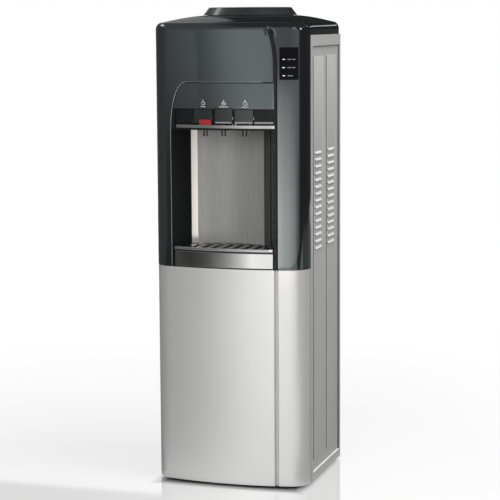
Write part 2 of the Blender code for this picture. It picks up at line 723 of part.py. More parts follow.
def front_turn(x, inset):
    """The turn of the front's normal at a given X."""
    turn = math.asin(x / (BULGE_RADIUS - inset))
    if abs(turn) <= CORNER_TURN:
        return turn
    share = min((abs(x) - CORNER_X) / (CORNER_RADIUS - inset), 1)
    return math.copysign(math.asin(share), x)


def front_y(x, inset=0):
    return front_point(front_turn(x, inset), inset)[1]


def front_knots():
    """The turns at which the front's plan line has its points."""
    corner = (math.pi / 2 - CORNER_TURN) / CORNER_STEPS
    bulge = 2 * CORNER_TURN / BULGE_STEPS
    left = [-math.pi / 2 + corner * i for i in range(CORNER_STEPS)]
    middle = [-CORNER_TURN + bulge * i for i in range(BULGE_STEPS + 1)]
    return left + middle + [-turn for turn in reversed(left)]


def front_line(left, right, inset):
    """Points of the front's plan line from one X to another."""
    start, end = front_turn(left, inset), front_turn(right, inset)
    least = (end - start) / (4 * BULGE_STEPS)
    between = [turn for turn in front_knots() if start + least < turn < end - least]
    return [(left, front_y(left, inset)), *(front_point(t, inset) for t in between), (right, front_y(right, inset))]


def front_strip(left, right, bottom, top, outer, inner):
    """A strip that follows the curved front between two insets."""
    outline = front_line(left, right, outer) + front_line(left, right, inner)[::-1]
    return extrusion([outline], bottom, top)


def front_block(inset, back, bottom, top):
    """Everything behind the curved front, drawn in by an inset, as far as a rear plane."""
    line = [front_point(turn, inset) for turn in front_knots()]
    outline = [(line[0][0], back), *line, (line[-1][0], back)]
    return extrusion([outline], bottom, top)


def groove_centre(height):
    """X of the crescent groove's middle at a height: straight below, bending to the left above."""
    rise = max(height - GROOVE_BEND_START, 0) / GROOVE_BEND_HEIGHT
    return GROOVE_X - GROOVE_BEND_SHIFT * rise**GROOVE_BEND_POWER


def channel_turns(centre, inset):
    """The turns of the front's normal at a channel's left and right edges."""
    return front_turn(centre - GROOVE_WIDTH / 2, inset), front_turn(centre + GROOVE_WIDTH / 2, inset)


def grooved_line(centre, depth, inset=0):
    """The front's plan line from rear edge to rear edge, with a channel pressed into it."""
    knots = front_knots()
    margin = (knots[CORNER_STEPS + 1] - knots[CORNER_STEPS]) / 4
    home_left, home_right = channel_turns(GROOVE_X, inset)
    before = [turn for turn in knots if turn < home_left - margin]
    after = [turn for turn in knots if turn > home_right + margin]
    left, right = channel_turns(centre, inset)
    low = left - (left - before[-1]) / 4
    high = right + (after[0] - right) / 4
    before = [front_point(min(turn, low), inset) for turn in before]
    after = [front_point(max(turn, high), inset) for turn in after]
    x0, y0 = front_point(left, inset)
    x1, y1 = front_point(right, inset)
    channel = [(x0, y0), (x0 + GROOVE_FLANK, y0 + depth), (x1 - GROOVE_FLANK, y1 + depth), (x1, y1)]
    return before, channel, after


def build_fascia(parent):
    """The upper front moulding: one curved wall with the crescent groove, open where the bay sits."""
    heights = [FASCIA_BOTTOM, GROOVE_BEND_START]
    rise = (PANEL_TOP + MOULDING - GROOVE_BEND_START) / GROOVE_BEND_STEPS
    heights += [GROOVE_BEND_START + rise * (i + 1) for i in range(GROOVE_BEND_STEPS)]
    rows = []
    for height in heights:
        before, channel, after = grooved_line(groove_centre(height), GROOVE_DEPTH)
        line = [(-HALF_WIDTH, -GAP), *before, *channel, *after, (HALF_WIDTH, -GAP)]
        rows.append([(x, y, height) for x, y in line])
    fascia = add_part("front_fascia", loft(rows), "graphite_gloss", parent, smooth=True)
    add_thickness(fascia, MOULDING)
    combine(fascia, extrusion([bay_outline(0)], front_y(0) - OVERRUN, front_y(BAY_LEFT) + 3 * OVERRUN, "Y"))
    pocket = front_strip(
        WINDOW_LEFT - GAP, WINDOW_RIGHT + GAP, WINDOW_BOTTOM - GAP, WINDOW_TOP + GAP, -OVERRUN, WINDOW_POCKET
    )
    combine(fascia, pocket)
    edge = Vector((HALF_WIDTH, -front_y(0), MOULDING)) * 2
    combine(fascia, box(Vector((0, 0, PANEL_TOP - GAP + edge.z)) - edge, Vector((0, 0, PANEL_TOP - GAP)) + edge))
    return fascia


def bay_outline(inset):
    """The bay insert's outline seen from the front, drawn in by an inset."""
    left = BAY_LEFT + inset
    right = BAY_RIGHT - inset
    top = BAY_TOP - inset
    bottom = FASCIA_BOTTOM if inset else FASCIA_BOTTOM - OVERRUN
    points = [(right, bottom), (right, top)]
    for i in range(BAY_CORNER_STEPS + 1):
        turn = math.pi / 2 * i / BAY_CORNER_STEPS
        across = left + BAY_CORNER_X * (1 - math.sin(turn))
        points.append((across, top - BAY_CORNER_Z * (1 - math.cos(turn))))
    points.append((left, bottom))
    return points


def splash_arc(outward, trim=0):
    """Points of the hollow back of the bay, left to right, moved back by a distance."""
    radius = SPLASH_RADIUS + outward
    turn = SPLASH_TURN - trim / SPLASH_RADIUS
    points = []
    for i in range(SPLASH_STEPS + 1):
        angle = -turn + 2 * turn * i / SPLASH_STEPS
        points.append((SPLASH_CENTRE_X + radius * math.sin(angle), SPLASH_CENTRE_Y + radius * math.cos(angle)))
    return points


def bay_plan(wall):
    """The bay's plan: straight mouth, drawn-in sides and hollow back, grown outwards by a wall."""
    left = BAY_LEFT + GAP + BAY_WALL - wall
    right = BAY_RIGHT - GAP - BAY_WALL + wall
    mouth = front_y(0) - OVERRUN
    back = splash_arc(SPLASH_SHEET + GAP + wall)
    return [(right, mouth), (right, front_y(right)), *back[::-1], (left, front_y(left)), (left, mouth)]


def key_window(kind):
    """The opening in the header through which a key is worked."""
    left, right = KEY_SIDES[kind]
    return front_strip(
        left - KEY_CLEARANCE,
        right + KEY_CLEARANCE,
        HEADER_BOTTOM + BAY_FLOOR + TRIM_HEIGHT + GAP,
        KEY_TOPS[kind] + KEY_CLEARANCE,
        -OVERRUN,
        KEY_ROW_RECESS + HEADER_WALL + OVERRUN,
    )


def build_bay_frame(parent):
    """The insert that makes the dispensing bay: header with key windows, walls, ceiling and floor."""
    frame = add_part(
        "bay_frame", extrusion([bay_plan(BAY_WALL)], FASCIA_BOTTOM, CEILING_TOP), "black_plastic", parent
    )
    combine(frame, extrusion([bay_plan(0)], FASCIA_BOTTOM + BAY_FLOOR, HEADER_BOTTOM))
    header = extrusion([bay_outline(GAP)], front_y(0) - OVERRUN, front_y(BAY_LEFT) + OVERRUN, "Y")
    below = box(
        (BAY_LEFT - OVERRUN, front_y(0) - 2 * OVERRUN, FASCIA_BOTTOM - OVERRUN),
        (BAY_RIGHT + OVERRUN, front_y(BAY_LEFT) + 2 * OVERRUN, HEADER_BOTTOM),
    )
    header_part = add_helper("header", header, parent)
    combine(header_part, below)
    deep = KEY_ROW_RECESS + HEADER_WALL
    combine(header_part, front_strip_between(deep), "INTERSECT")
    hollow = front_strip(
        BAY_LEFT + BAY_WALL,
        BAY_RIGHT - BAY_WALL,
        KEY_ROW_TOP + HEADER_WALL,
        BAY_TOP - HEADER_WALL,
        GAP + HEADER_WALL,
        deep + OVERRUN,
    )
    shape = extrusion([bay_outline(BAY_WALL)], front_y(0) - OVERRUN, front_y(BAY_LEFT) + 2 * OVERRUN, "Y")
    hollow_part = add_helper("header_hollow", hollow, parent)
    combine(hollow_part, shape, "INTERSECT")
    join_object(header_part, hollow_part, "DIFFERENCE")
    join_object(frame, header_part, "UNION")
    combine(frame, front_block_mask(GAP), "INTERSECT")
    combine(
        frame,
        front_strip(KEY_ROW_LEFT, BAY_RIGHT + OVERRUN, CEILING_TOP, KEY_ROW_TOP, -OVERRUN, KEY_ROW_RECESS),
    )
    blanks = []
    for left, right in BLANK_SIDES:
        blanks.append(front_strip(left, right, KEY_BOTTOM, KEY_TOPS["hot"], KEY_FACE_INSET, deep))
    combine(frame, merged(blanks), "UNION")
    left, right = BLANK_SIDES[1]
    combine(frame, front_strip(left, right, KEY_BOTTOM, KEY_BOTTOM + KEY_LIP, KEY_LIP_INSET, deep), "UNION")
    combine(frame, merged([key_window(kind) for kind in KEY_SIDES]))
    floor_end = TRAY_FRONT_INSET + TRAY_FRONT_THICKNESS + GAP
    tray_mouth = front_strip(
        BAY_LEFT - OVERRUN, BAY_RIGHT + OVERRUN, FASCIA_BOTTOM - OVERRUN, TRAY_FRONT_TOP, -OVERRUN, floor_end
    )
    combine(frame, tray_mouth)
    combine(frame, key_lugs(), "UNION")
    holes = [rod_along_x(KEY_ROD_RADIUS + RUNNING_GAP, OVERRUN)]
    for x in TAP_X.values():
        centre = (x, TAP_Y)
        holes.append(
            rod((*centre, HEADER_BOTTOM - OVERRUN), (*centre, CEILING_TOP + OVERRUN / 4), NOZZLE_RADIUS + GAP)
        )
    combine(frame, merged(holes))
    return frame


def add_helper(name, mesh, parent):
    """A shape that only serves to build another."""
    helper = bpy.data.objects.new(name, mesh)
    helper.parent = parent
    helper.hide_render = True
    helper.display_type = "WIRE"
    CUTTERS.objects.link(helper)
    return helper


def join_object(part, helper, operation):
    """Combine a part with a helper object that has modifiers of its own."""
    step = part.modifiers.new(operation.lower(), "BOOLEAN")
    step.operation = operation
    step.solver = "EXACT"
    step.object = helper


def front_strip_between(inner):
    """The header's slice of the front, from proud of the surface to an inner inset."""
    return front_strip(
        BAY_LEFT - OVERRUN, BAY_RIGHT + OVERRUN, HEADER_BOTTOM - OVERRUN, BAY_TOP + OVERRUN, -2 * OVERRUN, inner
    )


def front_block_mask(inset):
    """A block that trims the bay insert to the curved front."""
    return front_block(inset, PANEL_DEPTH, FASCIA_BOTTOM - OVERRUN, BAY_TOP + OVERRUN)


def lug_places():
    """X of the left faces of the two lugs that hold the key rod."""
    left = min(side[0] for side in KEY_SIDES.values()) - KEY_LUG_OFFSET - KEY_LUG_WIDTH
    right = max(side[1] for side in KEY_SIDES.values()) + KEY_LUG_OFFSET
    return left, right


def key_lugs():
    """Two lugs that stand on the ceiling and hold the key rod."""
    lugs = []
    for left in lug_places():
        low = (left, KEY_AXIS_Y - KEY_LUG_DEPTH / 2, CEILING_TOP - BAY_FLOOR / 2)
        high = (left + KEY_LUG_WIDTH, KEY_AXIS_Y + KEY_LUG_DEPTH / 2, KEY_AXIS_Z + KEY_LUG_DEPTH / 2)
        lugs.append(box(low, high))
    return merged(lugs)


def rod_along_x(radius, beyond):
    """The key rod's shape, reaching beyond the lugs on both sides."""
    left, right = lug_places()
    start = (left - beyond, KEY_AXIS_Y, KEY_AXIS_Z)
    return rod(start, (right + KEY_LUG_WIDTH + beyond, KEY_AXIS_Y, KEY_AXIS_Z), radius)


def build_bay_trim(parent):
    """Backsplash, ledge trim and key rod."""
    sheet = splash_arc(0, 2 * GAP) + splash_arc(SPLASH_SHEET, 2 * GAP)[::-1]
    add_part(
        "backsplash", extrusion([sheet], GRILLE_TOP + GAP, HEADER_BOTTOM - GAP), "brushed_steel", parent, smooth=True
    )
    trim = front_strip(
        TRIM_LEFT,
        BAY_RIGHT - GAP,
        CEILING_TOP + GAP,
        CEILING_TOP + TRIM_HEIGHT,
        TRIM_INSET,
        TRIM_INSET + TRIM_THICKNESS,
    )
    add_part("ledge_trim", trim, "bright_steel", parent)
    add_part("key_rod", rod_along_x(KEY_ROD_RADIUS, 2 * KEY_LUG_WIDTH / 3), "zinc", parent, smooth=True)


def build_keys(parent):
    """Three piano-style keys on one rod, and the red child lock on the hot one."""
    for kind, (left, right) in KEY_SIDES.items():
        axis = add_datum(f"key_axis_{kind}", (0, KEY_AXIS_Y, KEY_AXIS_Z), parent)
        shift = (0, -KEY_AXIS_Y, -KEY_AXIS_Z)
        inner = KEY_FACE_INSET + KEY_THICKNESS
        face = front_strip(left, right, KEY_BOTTOM, KEY_TOPS[kind], KEY_FACE_INSET, inner)
        key = add_part(f"key_{kind}", moved(face, shift), "black_plastic", axis)
        lip = front_strip(left, right, KEY_BOTTOM, KEY_BOTTOM + KEY_LIP, KEY_LIP_INSET, inner)
        combine(key, moved(lip, shift), "UNION")
        middle = (left + right) / 2
        arm_low = (middle - KEY_ARM_WIDTH / 2, front_y(middle, inner) - KEY_THICKNESS / 2, KEY_ARM_BOTTOM)
        arm_high = (middle + KEY_ARM_WIDTH / 2, KEY_AXIS_Y, KEY_ARM_BOTTOM + KEY_ARM_THICKNESS)
        combine(key, moved(box(arm_low, arm_high), shift), "UNION")
        barrel_start = (middle - KEY_ARM_WIDTH / 2, KEY_AXIS_Y, KEY_AXIS_Z)
        barrel_end = (middle + KEY_ARM_WIDTH / 2, KEY_AXIS_Y, KEY_AXIS_Z)
        combine(key, moved(rod(barrel_start, barrel_end, KEY_BARREL_RADIUS), shift), "UNION")
        bore_start = (left, KEY_AXIS_Y, KEY_AXIS_Z)
        bore_end = (right, KEY_AXIS_Y, KEY_AXIS_Z)
        combine(key, moved(rod(bore_start, bore_end, KEY_ROD_RADIUS + RUNNING_GAP), shift))
        if kind == "hot":
            notch = front_strip(
                LOCK_LEFT - GAP,
                LOCK_RIGHT + GAP,
                KEY_BOTTOM - OVERRUN,
                KEY_BOTTOM + KEY_LIP + GAP,
                -OVERRUN,
                KEY_FACE_INSET,
            )
            combine(key, moved(notch, shift))
            slot = lock_stem(GAP, GAP + LOCK_TRAVEL, KEY_THICKNESS + OVERRUN)
            combine(key, moved(slot, shift))
            lock = front_strip(
                LOCK_LEFT, LOCK_RIGHT, LOCK_BOTTOM, LOCK_TOP, LOCK_INSET, LOCK_INSET + LOCK_THICKNESS
            )
            tab = add_part("child_lock", moved(lock, shift), "red_plastic", axis)
            combine(tab, moved(lock_stem(0, 0, KEY_THICKNESS), shift), "UNION")


def lock_stem(side_gap, head_room, reach):
    """The child lock's stem, or the slot that it slides in."""
    middle = (LOCK_LEFT + LOCK_RIGHT) / 2
    left = middle - LOCK_STEM_WIDTH / 2 - side_gap
    right = middle + LOCK_STEM_WIDTH / 2 + side_gap
    bottom = KEY_BOTTOM + KEY_LIP / 2
    height = (LOCK_TOP - KEY_BOTTOM) / 2
    inner = LOCK_INSET + LOCK_THICKNESS
    start = inner - LOCK_THICKNESS / 2 if side_gap == 0 else inner - LOCK_THICKNESS
    return front_strip(left, right, bottom - side_gap, bottom + height + head_room, start, inner + reach)


def tap_mesh():
    """A tap: flange on the ceiling, round body above, nozzle below and inlet spigot behind."""
    profile = [
        (0, TAP_BODY_HEIGHT),
        (TAP_RADIUS * 0.8, TAP_BODY_HEIGHT),
        (TAP_RADIUS, TAP_BODY_HEIGHT - TAP_RADIUS * 0.2),
        (TAP_RADIUS, TAP_FLANGE_HEIGHT),
        (TAP_FLANGE_RADIUS, TAP_FLANGE_HEIGHT),
        (TAP_FLANGE_RADIUS, 0),
        (NOZZLE_RADIUS, 0),
        (NOZZLE_RADIUS * 0.92, -NOZZLE_DROP - BAY_FLOOR - GAP),
        (0, -NOZZLE_DROP - BAY_FLOOR - GAP),
    ]
    return turned(profile, 16)


def build_taps(parent):
    """Tap bodies and their plungers, one pair for each key."""
    for kind, x in TAP_X.items():
        tap = add_part(f"tap_{kind}", tap_mesh(), "black_plastic", parent, (x, TAP_Y, TAP_BASE_Z), smooth=True)
        spigot = rod((0, 0, SPIGOT_HEIGHT), (0, TAP_RADIUS + SPIGOT_LENGTH, SPIGOT_HEIGHT), SPIGOT_RADIUS, 10)
        combine(tap, spigot, "UNION")
        outlet_bottom = -NOZZLE_DROP - BAY_FLOOR - OVERRUN
        outlet = rod((0, 0, outlet_bottom), (0, 0, outlet_bottom + NOZZLE_BORE_DEPTH), NOZZLE_BORE, 12)
        stem_hole = rod(
            (0, 0, TAP_BODY_HEIGHT - PLUNGER_STEM_DEPTH - NOZZLE_BORE),
            (0, 0, TAP_BODY_HEIGHT + OVERRUN),
            PLUNGER_STEM_RADIUS + RUNNING_GAP,
            12,
        )
        combine(tap, merged([outlet, stem_hole]))
        add_part(
            f"plunger_{kind}", plunger_mesh(), "white_plastic", parent, (x, TAP_Y, PLUNGER_HEAD_Z), smooth=True
        )


def plunger_mesh():
    """A plunger: domed head above a stem, its origin under the head."""
    dome = []
    for i in range(4):
        turn = math.pi / 2 * i / 3
        dome.append(
            (PLUNGER_DOME_RADIUS * math.sin(turn), PLUNGER_HEAD_HEIGHT + PLUNGER_DOME_RADIUS * math.cos(turn))
        )
    stem_end = -PLUNGER_RISE - PLUNGER_STEM_DEPTH
    profile = [
        *dome,
        (PLUNGER_HEAD_RADIUS, PLUNGER_HEAD_HEIGHT),
        (PLUNGER_HEAD_RADIUS, 0),
        (PLUNGER_STEM_RADIUS, 0),
        (PLUNGER_STEM_RADIUS, stem_end),
        (0, stem_end),
    ]
    return turned(profile, 12)


def build_display(parent, fascia):
    """Black display window in the pillar, and the light guide whose three lenses pass through it."""
    window = add_part(
        "display_window",
        front_strip(WINDOW_LEFT, WINDOW_RIGHT, WINDOW_BOTTOM, WINDOW_TOP, 0, WINDOW_POCKET - GAP),
        "black_gloss",
        parent,
        smooth=True,
    )
    plate = front_strip(
        LAMP_LEFT - GUIDE_MARGIN,
        LAMP_LEFT + LAMP_WIDTH + GUIDE_MARGIN,
        LAMP_HEIGHTS[0] - GUIDE_MARGIN,
        LAMP_HEIGHTS[-1] + GUIDE_MARGIN,
        MOULDING + GAP,
        MOULDING + GAP + GUIDE_THICKNESS,
    )
    guide = add_part("light_guide", plate, "lamp_green", parent)
    slots, lenses = [], []
    for height in LAMP_HEIGHTS:
        low, high = height - LAMP_HEIGHT / 2, height + LAMP_HEIGHT / 2
        right = LAMP_LEFT + LAMP_WIDTH
        slots.append(front_strip(LAMP_LEFT - GAP, right + GAP, low - GAP, high + GAP, -OVERRUN, OVERRUN))
        lenses.append(front_strip(LAMP_LEFT, right, low, high, 0, MOULDING + GAP + GUIDE_THICKNESS / 2))
    combine(guide, merged(lenses), "UNION")
    slot_tool = merged(slots)
    combine(window, slot_tool)
    combine(fascia, slot_tool)


def tray_plan(inset, grow):
    """The tray's plan: curved front, straight sides and a back that follows the hollow back of the bay."""
    left = BAY_LEFT + GAP + BAY_WALL + TRAY_SIDE_GAP + grow
    right = BAY_RIGHT - GAP - BAY_WALL - TRAY_SIDE_GAP - grow
    back = splash_arc(-TRAY_BACK_GAP - grow)
    return front_line(left, right, inset + grow) + back[::-1]


def build_tray(parent):
    """Drip tray, its silver front and the slotted grille with its raised front rim."""
    tray_bottom = FASCIA_BOTTOM + BAY_FLOOR + GAP
    tray_top = GRILLE_TOP - GRILLE_THICKNESS - GAP
    inset = TRAY_FRONT_INSET + TRAY_FRONT_THICKNESS + GAP
    tray = add_part("drip_tray", extrusion([tray_plan(inset, 0)], tray_bottom, tray_top), "black_plastic", parent)
    combine(tray, extrusion([tray_plan(inset, TRAY_WALL)], tray_bottom + TRAY_WALL, tray_top + OVERRUN))
    front = front_strip(
        TRAY_FRONT_LEFT,
        TRAY_FRONT_RIGHT,
        FASCIA_BOTTOM + TRAY_FRONT_RISE,
        TRAY_FRONT_TOP,
        TRAY_FRONT_INSET,
        TRAY_FRONT_INSET + TRAY_FRONT_THICKNESS,
    )
    add_part("tray_front", front, "silver_paint", parent, smooth=True)
    rim_back = GRILLE_RIM_INSET + GRILLE_RIM_DEPTH
    plate = [tray_plan(rim_back - TRAY_WALL, 0), *grille_slots(rim_back)]
    grille = add_part(
        "drip_grille", extrusion(plate, GRILLE_TOP - GRILLE_THICKNESS, GRILLE_TOP), "grey_plastic", parent
    )
    left = BAY_LEFT + GAP + BAY_WALL + TRAY_SIDE_GAP
    right = BAY_RIGHT - GAP - BAY_WALL - TRAY_SIDE_GAP
    rim_end = rim_back - TRAY_WALL / 2
    rim = front_strip(left, right, GRILLE_RIM_BOTTOM, GRILLE_RIM_TOP, GRILLE_RIM_INSET, rim_end)
    combine(grille, rim, "UNION")


def splash_y(x, outward):
    """Y of the hollow back of the bay at a given X, moved back by a distance."""
    return SPLASH_CENTRE_Y + math.sqrt((SPLASH_RADIUS + outward) ** 2 - (x - SPLASH_CENTRE_X) ** 2)


def grille_slots(inset):
    """Slanted slots across the grille: wide ones, with split finer ones between them."""
    front = front_y(SPLASH_CENTRE_X, inset) + SLOT_MARGIN
    start = SPLASH_CENTRE_X - SLOT_PERIOD * (SLOT_COUNT - 1) / 2 - SLOT_LEAN / 2 + SLOT_SHIFT
    slots = []
    for i in range(SLOT_COUNT * (FINE_SLOTS + 1) - FINE_SLOTS):
        x = start + SLOT_PERIOD * i / (FINE_SLOTS + 1)
        back_x = x + SLOT_LEAN
        back = splash_y(back_x, -TRAY_BACK_GAP) - SLOT_MARGIN
        back = min(back, splash_y(back_x - SLOT_LEAN / 2, -TRAY_BACK_GAP) - SLOT_MARGIN)
        if i % (FINE_SLOTS + 1) == 0:
            slots.append(slanted_slot(x, back_x, front, back, SLOT_WIDTH))
            continue
        middle = (front + back) / 2
        low, high = middle - FINE_SLOT_SPLIT / 2, middle + FINE_SLOT_SPLIT / 2
        slope = SLOT_LEAN / (back - front)
        slots.append(slanted_slot(x, x + slope * (low - front), front, low, FINE_SLOT_WIDTH))
        slots.append(slanted_slot(x + slope * (high - front), back_x, high, back, FINE_SLOT_WIDTH))
    return slots


def slanted_slot(front_x, back_x, front, back, width):
    half = width / 2
    return [(front_x - half, front), (front_x + half, front), (back_x + half, back), (back_x - half, back)]


def cover_ring(inset, height, groove=0):
    """The cover's plan outline drawn in by an inset, with the crescent groove's end, as a closed ring."""
    before, channel, after = grooved_line(groove_centre(height), groove, inset)
    ring = [(x, y, height) for x, y in before + channel + after]
    radius = COVER_REAR_RADIUS - inset
    centre_x = HALF_WIDTH - inset - radius
    centre_y = PANEL_DEPTH - inset - radius
    half = [(HALF_WIDTH - inset, centre_y * i / COVER_SIDE_STEPS) for i in range(1, COVER_SIDE_STEPS)]
    for i in range(COVER_REAR_STEPS + 1):
        turn = math.pi / 2 * i / COVER_REAR_STEPS
        half.append((centre_x + radius * math.cos(turn), centre_y + radius * math.sin(turn)))
    half += [(centre_x * (1 - i / COVER_SIDE_STEPS), PANEL_DEPTH - inset) for i in range(1, COVER_SIDE_STEPS)]
    middle = [(0, PANEL_DEPTH - inset)]
    ring += [(x, y, height) for x, y in half + middle]
    return ring + [(-x, y, height) for x, y in reversed(half)]


def build_cover(parent):
    """The domed top cover: skirt, rounded shoulder and dome up to the bottle hole."""
    skirt_bottom = PANEL_TOP + GAP
    shoulder_z = skirt_bottom + COVER_SKIRT
    rings = [cover_ring(0, skirt_bottom, GROOVE_DEPTH)]
    for i in range(SHOULDER_STEPS + 1):
        turn = math.pi / 2 * i / SHOULDER_STEPS
        inset = SHOULDER_INSET * (1 - math.cos(turn))
        groove = GROOVE_DEPTH if i < GROOVE_END_STEP else 0
        rings.append(cover_ring(inset, shoulder_z + SHOULDER_HEIGHT * math.sin(turn), groove))
    edge = rings[-1]
    for i in range(1, DOME_STEPS + 1):
        share = i / DOME_STEPS
        ring = []
        for x, y, z in edge:
            angle = math.atan2(y - BOTTLE_AXIS_Y, x)
            round_x = COVER_HOLE_RADIUS * math.cos(angle)
            round_y = BOTTLE_AXIS_Y + COVER_HOLE_RADIUS * math.sin(angle)
            rise = (COLLAR_BASE_Z - z) * math.sin(share * math.pi / 2)
            ring.append((x + (round_x - x) * share, y + (round_y - y) * share, z + rise))
        rings.append(ring)
    cover = add_part("top_cover", loft(rings, closed=True), "graphite_gloss", parent, smooth=True)
    add_thickness(cover, MOULDING)
    return cover


def build_bottle_seat(parent):
    """Collar on the cover, funnel for the bottle's neck and the water guard that the neck slides over."""
    top = COLLAR_TOP_Z - COLLAR_BASE_Z
    inner = COLLAR_RIM_RADIUS - COLLAR_RIM_WIDTH
    spigot = COVER_HOLE_RADIUS - GAP - MOULDING / 2
    ledge = inner - COLLAR_LEDGE
    ledge_top = -COLLAR_SPIGOT + MOULDING
    collar = [
        (COLLAR_RIM_RADIUS - COLLAR_RIM_WIDTH / 3, top),
        (COLLAR_RIM_RADIUS, top - COLLAR_RIM_WIDTH / 3),
        (COLLAR_BASE_RADIUS, GAP),
        (spigot, GAP),
        (spigot, -COLLAR_SPIGOT),
        (ledge, -COLLAR_SPIGOT),
        (ledge, ledge_top),
        (inner, ledge_top),
        (inner, top),
    ]
    place = (0, BOTTLE_AXIS_Y, COLLAR_BASE_Z)
    add_part("bottle_collar", turned(collar, ROUND_STEPS, True), "graphite_gloss", parent, place, smooth=True)
    rim = inner - GAP
    seat_z = ledge_top + GAP
    throat = FUNNEL_THROAT_Z - COLLAR_BASE_Z
    funnel = [
        (rim, seat_z + MOULDING),
        (rim, seat_z),
        (ledge - GAP, seat_z),
        (FUNNEL_THROAT_RADIUS + MOULDING, throat),
        (FUNNEL_THROAT_RADIUS + MOULDING, throat - FUNNEL_NECK),
        (FUNNEL_THROAT_RADIUS, throat - FUNNEL_NECK),
        (FUNNEL_THROAT_RADIUS, throat + GAP),
        (ledge - MOULDING, seat_z + MOULDING),
    ]
    add_part("bottle_funnel", turned(funnel, ROUND_STEPS, True), "black_plastic", parent, place, smooth=True)
    base = FUNNEL_THROAT_Z - FUNNEL_NECK
    seat = FUNNEL_THROAT_RADIUS - GAP
    guard = [
        (0, GUARD_HEIGHT),
        (GUARD_TIP_RADIUS * 0.7, GUARD_HEIGHT - GUARD_TIP_RADIUS * 0.2),
        (GUARD_TIP_RADIUS, GUARD_HEIGHT - GUARD_TIP_RADIUS),
        (GUARD_RADIUS, GUARD_SHOULDER),
        (GUARD_RADIUS, GUARD_FLANGE),
        (seat, GUARD_FLANGE),
        (seat, 0),
        (GUARD_RADIUS - MOULDING, 0),
        (GUARD_RADIUS - MOULDING, GUARD_SHOULDER),
        (0, GUARD_SHOULDER),
    ]
    guard_place = (0, BOTTLE_AXIS_Y, base)
    water_guard = add_part("water_guard", turned(guard, 20), "white_plastic", parent, guard_place, smooth=True)
    ports = []
    for i in range(3):
        turn = 2 * math.pi * i / 3
        reach = (math.cos(turn) * GUARD_RADIUS * 1.4, math.sin(turn) * GUARD_RADIUS * 1.4, GUARD_SHOULDER * 0.62)
        ports.append(rod((0, 0, GUARD_SHOULDER * 0.62), reach, GUARD_FLANGE * 0.8, 8))
    combine(water_guard, merged(ports[:1]))
    combine(water_guard, merged(ports[1:2]))
    combine(water_guard, merged(ports[2:]))


def build_cold_tank(parent, half):
    """Tank shelf, foam jacket and steel cold tank."""
    rear = REAR_PANEL_FRONT - GAP
    front = BOTTLE_AXIS_Y - JACKET_SIDE / 2 - SHELF_OVERHANG
    shelf = add_part(
        "tank_shelf", box((-half, front, TANK_SHELF_Z), (half, rear, TANK_SHELF_Z + SHEET)), "zinc", parent
    )
    lip = box((-half, rear - SHEET, TANK_SHELF_Z - DECK_RIM), (half, rear, TANK_SHELF_Z + SHEET / 2))
    combine(shelf, lip, "UNION")
    side = JACKET_SIDE / 2
    cut = side - JACKET_CHAMFER
    outline = [(-cut, -side), (cut, -side), (side, -cut), (side, cut), (cut, side), (-cut, side), (-side, cut)]
    outline.append((-side, -cut))
    jacket = add_part(
        "cold_tank_jacket",
        extrusion([outline], JACKET_BOTTOM, JACKET_TOP_Z),
        "foam",
        parent,
        (0, BOTTLE_AXIS_Y, 0),
    )
    combine(jacket, rod((0, 0, TANK_BOTTOM - GAP), (0, 0, JACKET_TOP_Z + OVERRUN), TANK_RADIUS + 2 * GAP, 24))
    tank = [
        (0, TANK_WALL),
        (TANK_RADIUS - TANK_ROUNDING - TANK_WALL / 2, TANK_WALL),
        (TANK_RADIUS - TANK_WALL, TANK_ROUNDING + TANK_WALL / 2),
        (TANK_RADIUS - TANK_WALL, TANK_HEIGHT),
        (TANK_RADIUS, TANK_HEIGHT),
        (TANK_RADIUS, TANK_ROUNDING),
        (TANK_RADIUS - TANK_ROUNDING, 0),
        (0, 0),
    ]
    tank_place = (0, BOTTLE_AXIS_Y, TANK_BOTTOM)
    add_part("cold_tank", turned(tank, 24), "bright_steel", parent, tank_place, smooth=True)


def build_hot_tank(parent):
    """Hot tank on the skirt that it stands on, with its outlet on top; returns the outlet's height."""
    base = DECK_TOP + GAP + HOT_STAND_HEIGHT
    profile = [(0, HOT_HEIGHT + HOT_DOME)]
    for i in range(1, 4):
        turn = math.pi / 2 * i / 3
        profile.append((HOT_RADIUS * math.sin(turn), HOT_HEIGHT + HOT_DOME * math.cos(turn)))
    profile += [
        (HOT_RADIUS, HOT_DOME / 2),
        (HOT_STAND_RADIUS, 0),
        (HOT_STAND_RADIUS, -HOT_STAND_HEIGHT),
        (HOT_STAND_RADIUS - HOT_STAND_WALL, -HOT_STAND_HEIGHT),
        (HOT_STAND_RADIUS - HOT_STAND_WALL, 0),
        (0, 0),
    ]
    tank = add_part("hot_tank", turned(profile, 24), "bright_steel", parent, (HOT_X, HOT_Y, base), smooth=True)
    gate = HOT_STAND_RADIUS / 2
    reach = HOT_STAND_RADIUS + OVERRUN
    combine(tank, box((-gate, -reach, -2 * gate), (gate, reach, -gate / 2)))
    top = HOT_HEIGHT + HOT_DOME
    stub = rod((0, 0, top - HOT_STUB_LENGTH / 2), (0, 0, top + HOT_STUB_LENGTH), HOT_STUB_RADIUS, 10)
    combine(tank, stub, "UNION")
    return base + top + HOT_STUB_LENGTH


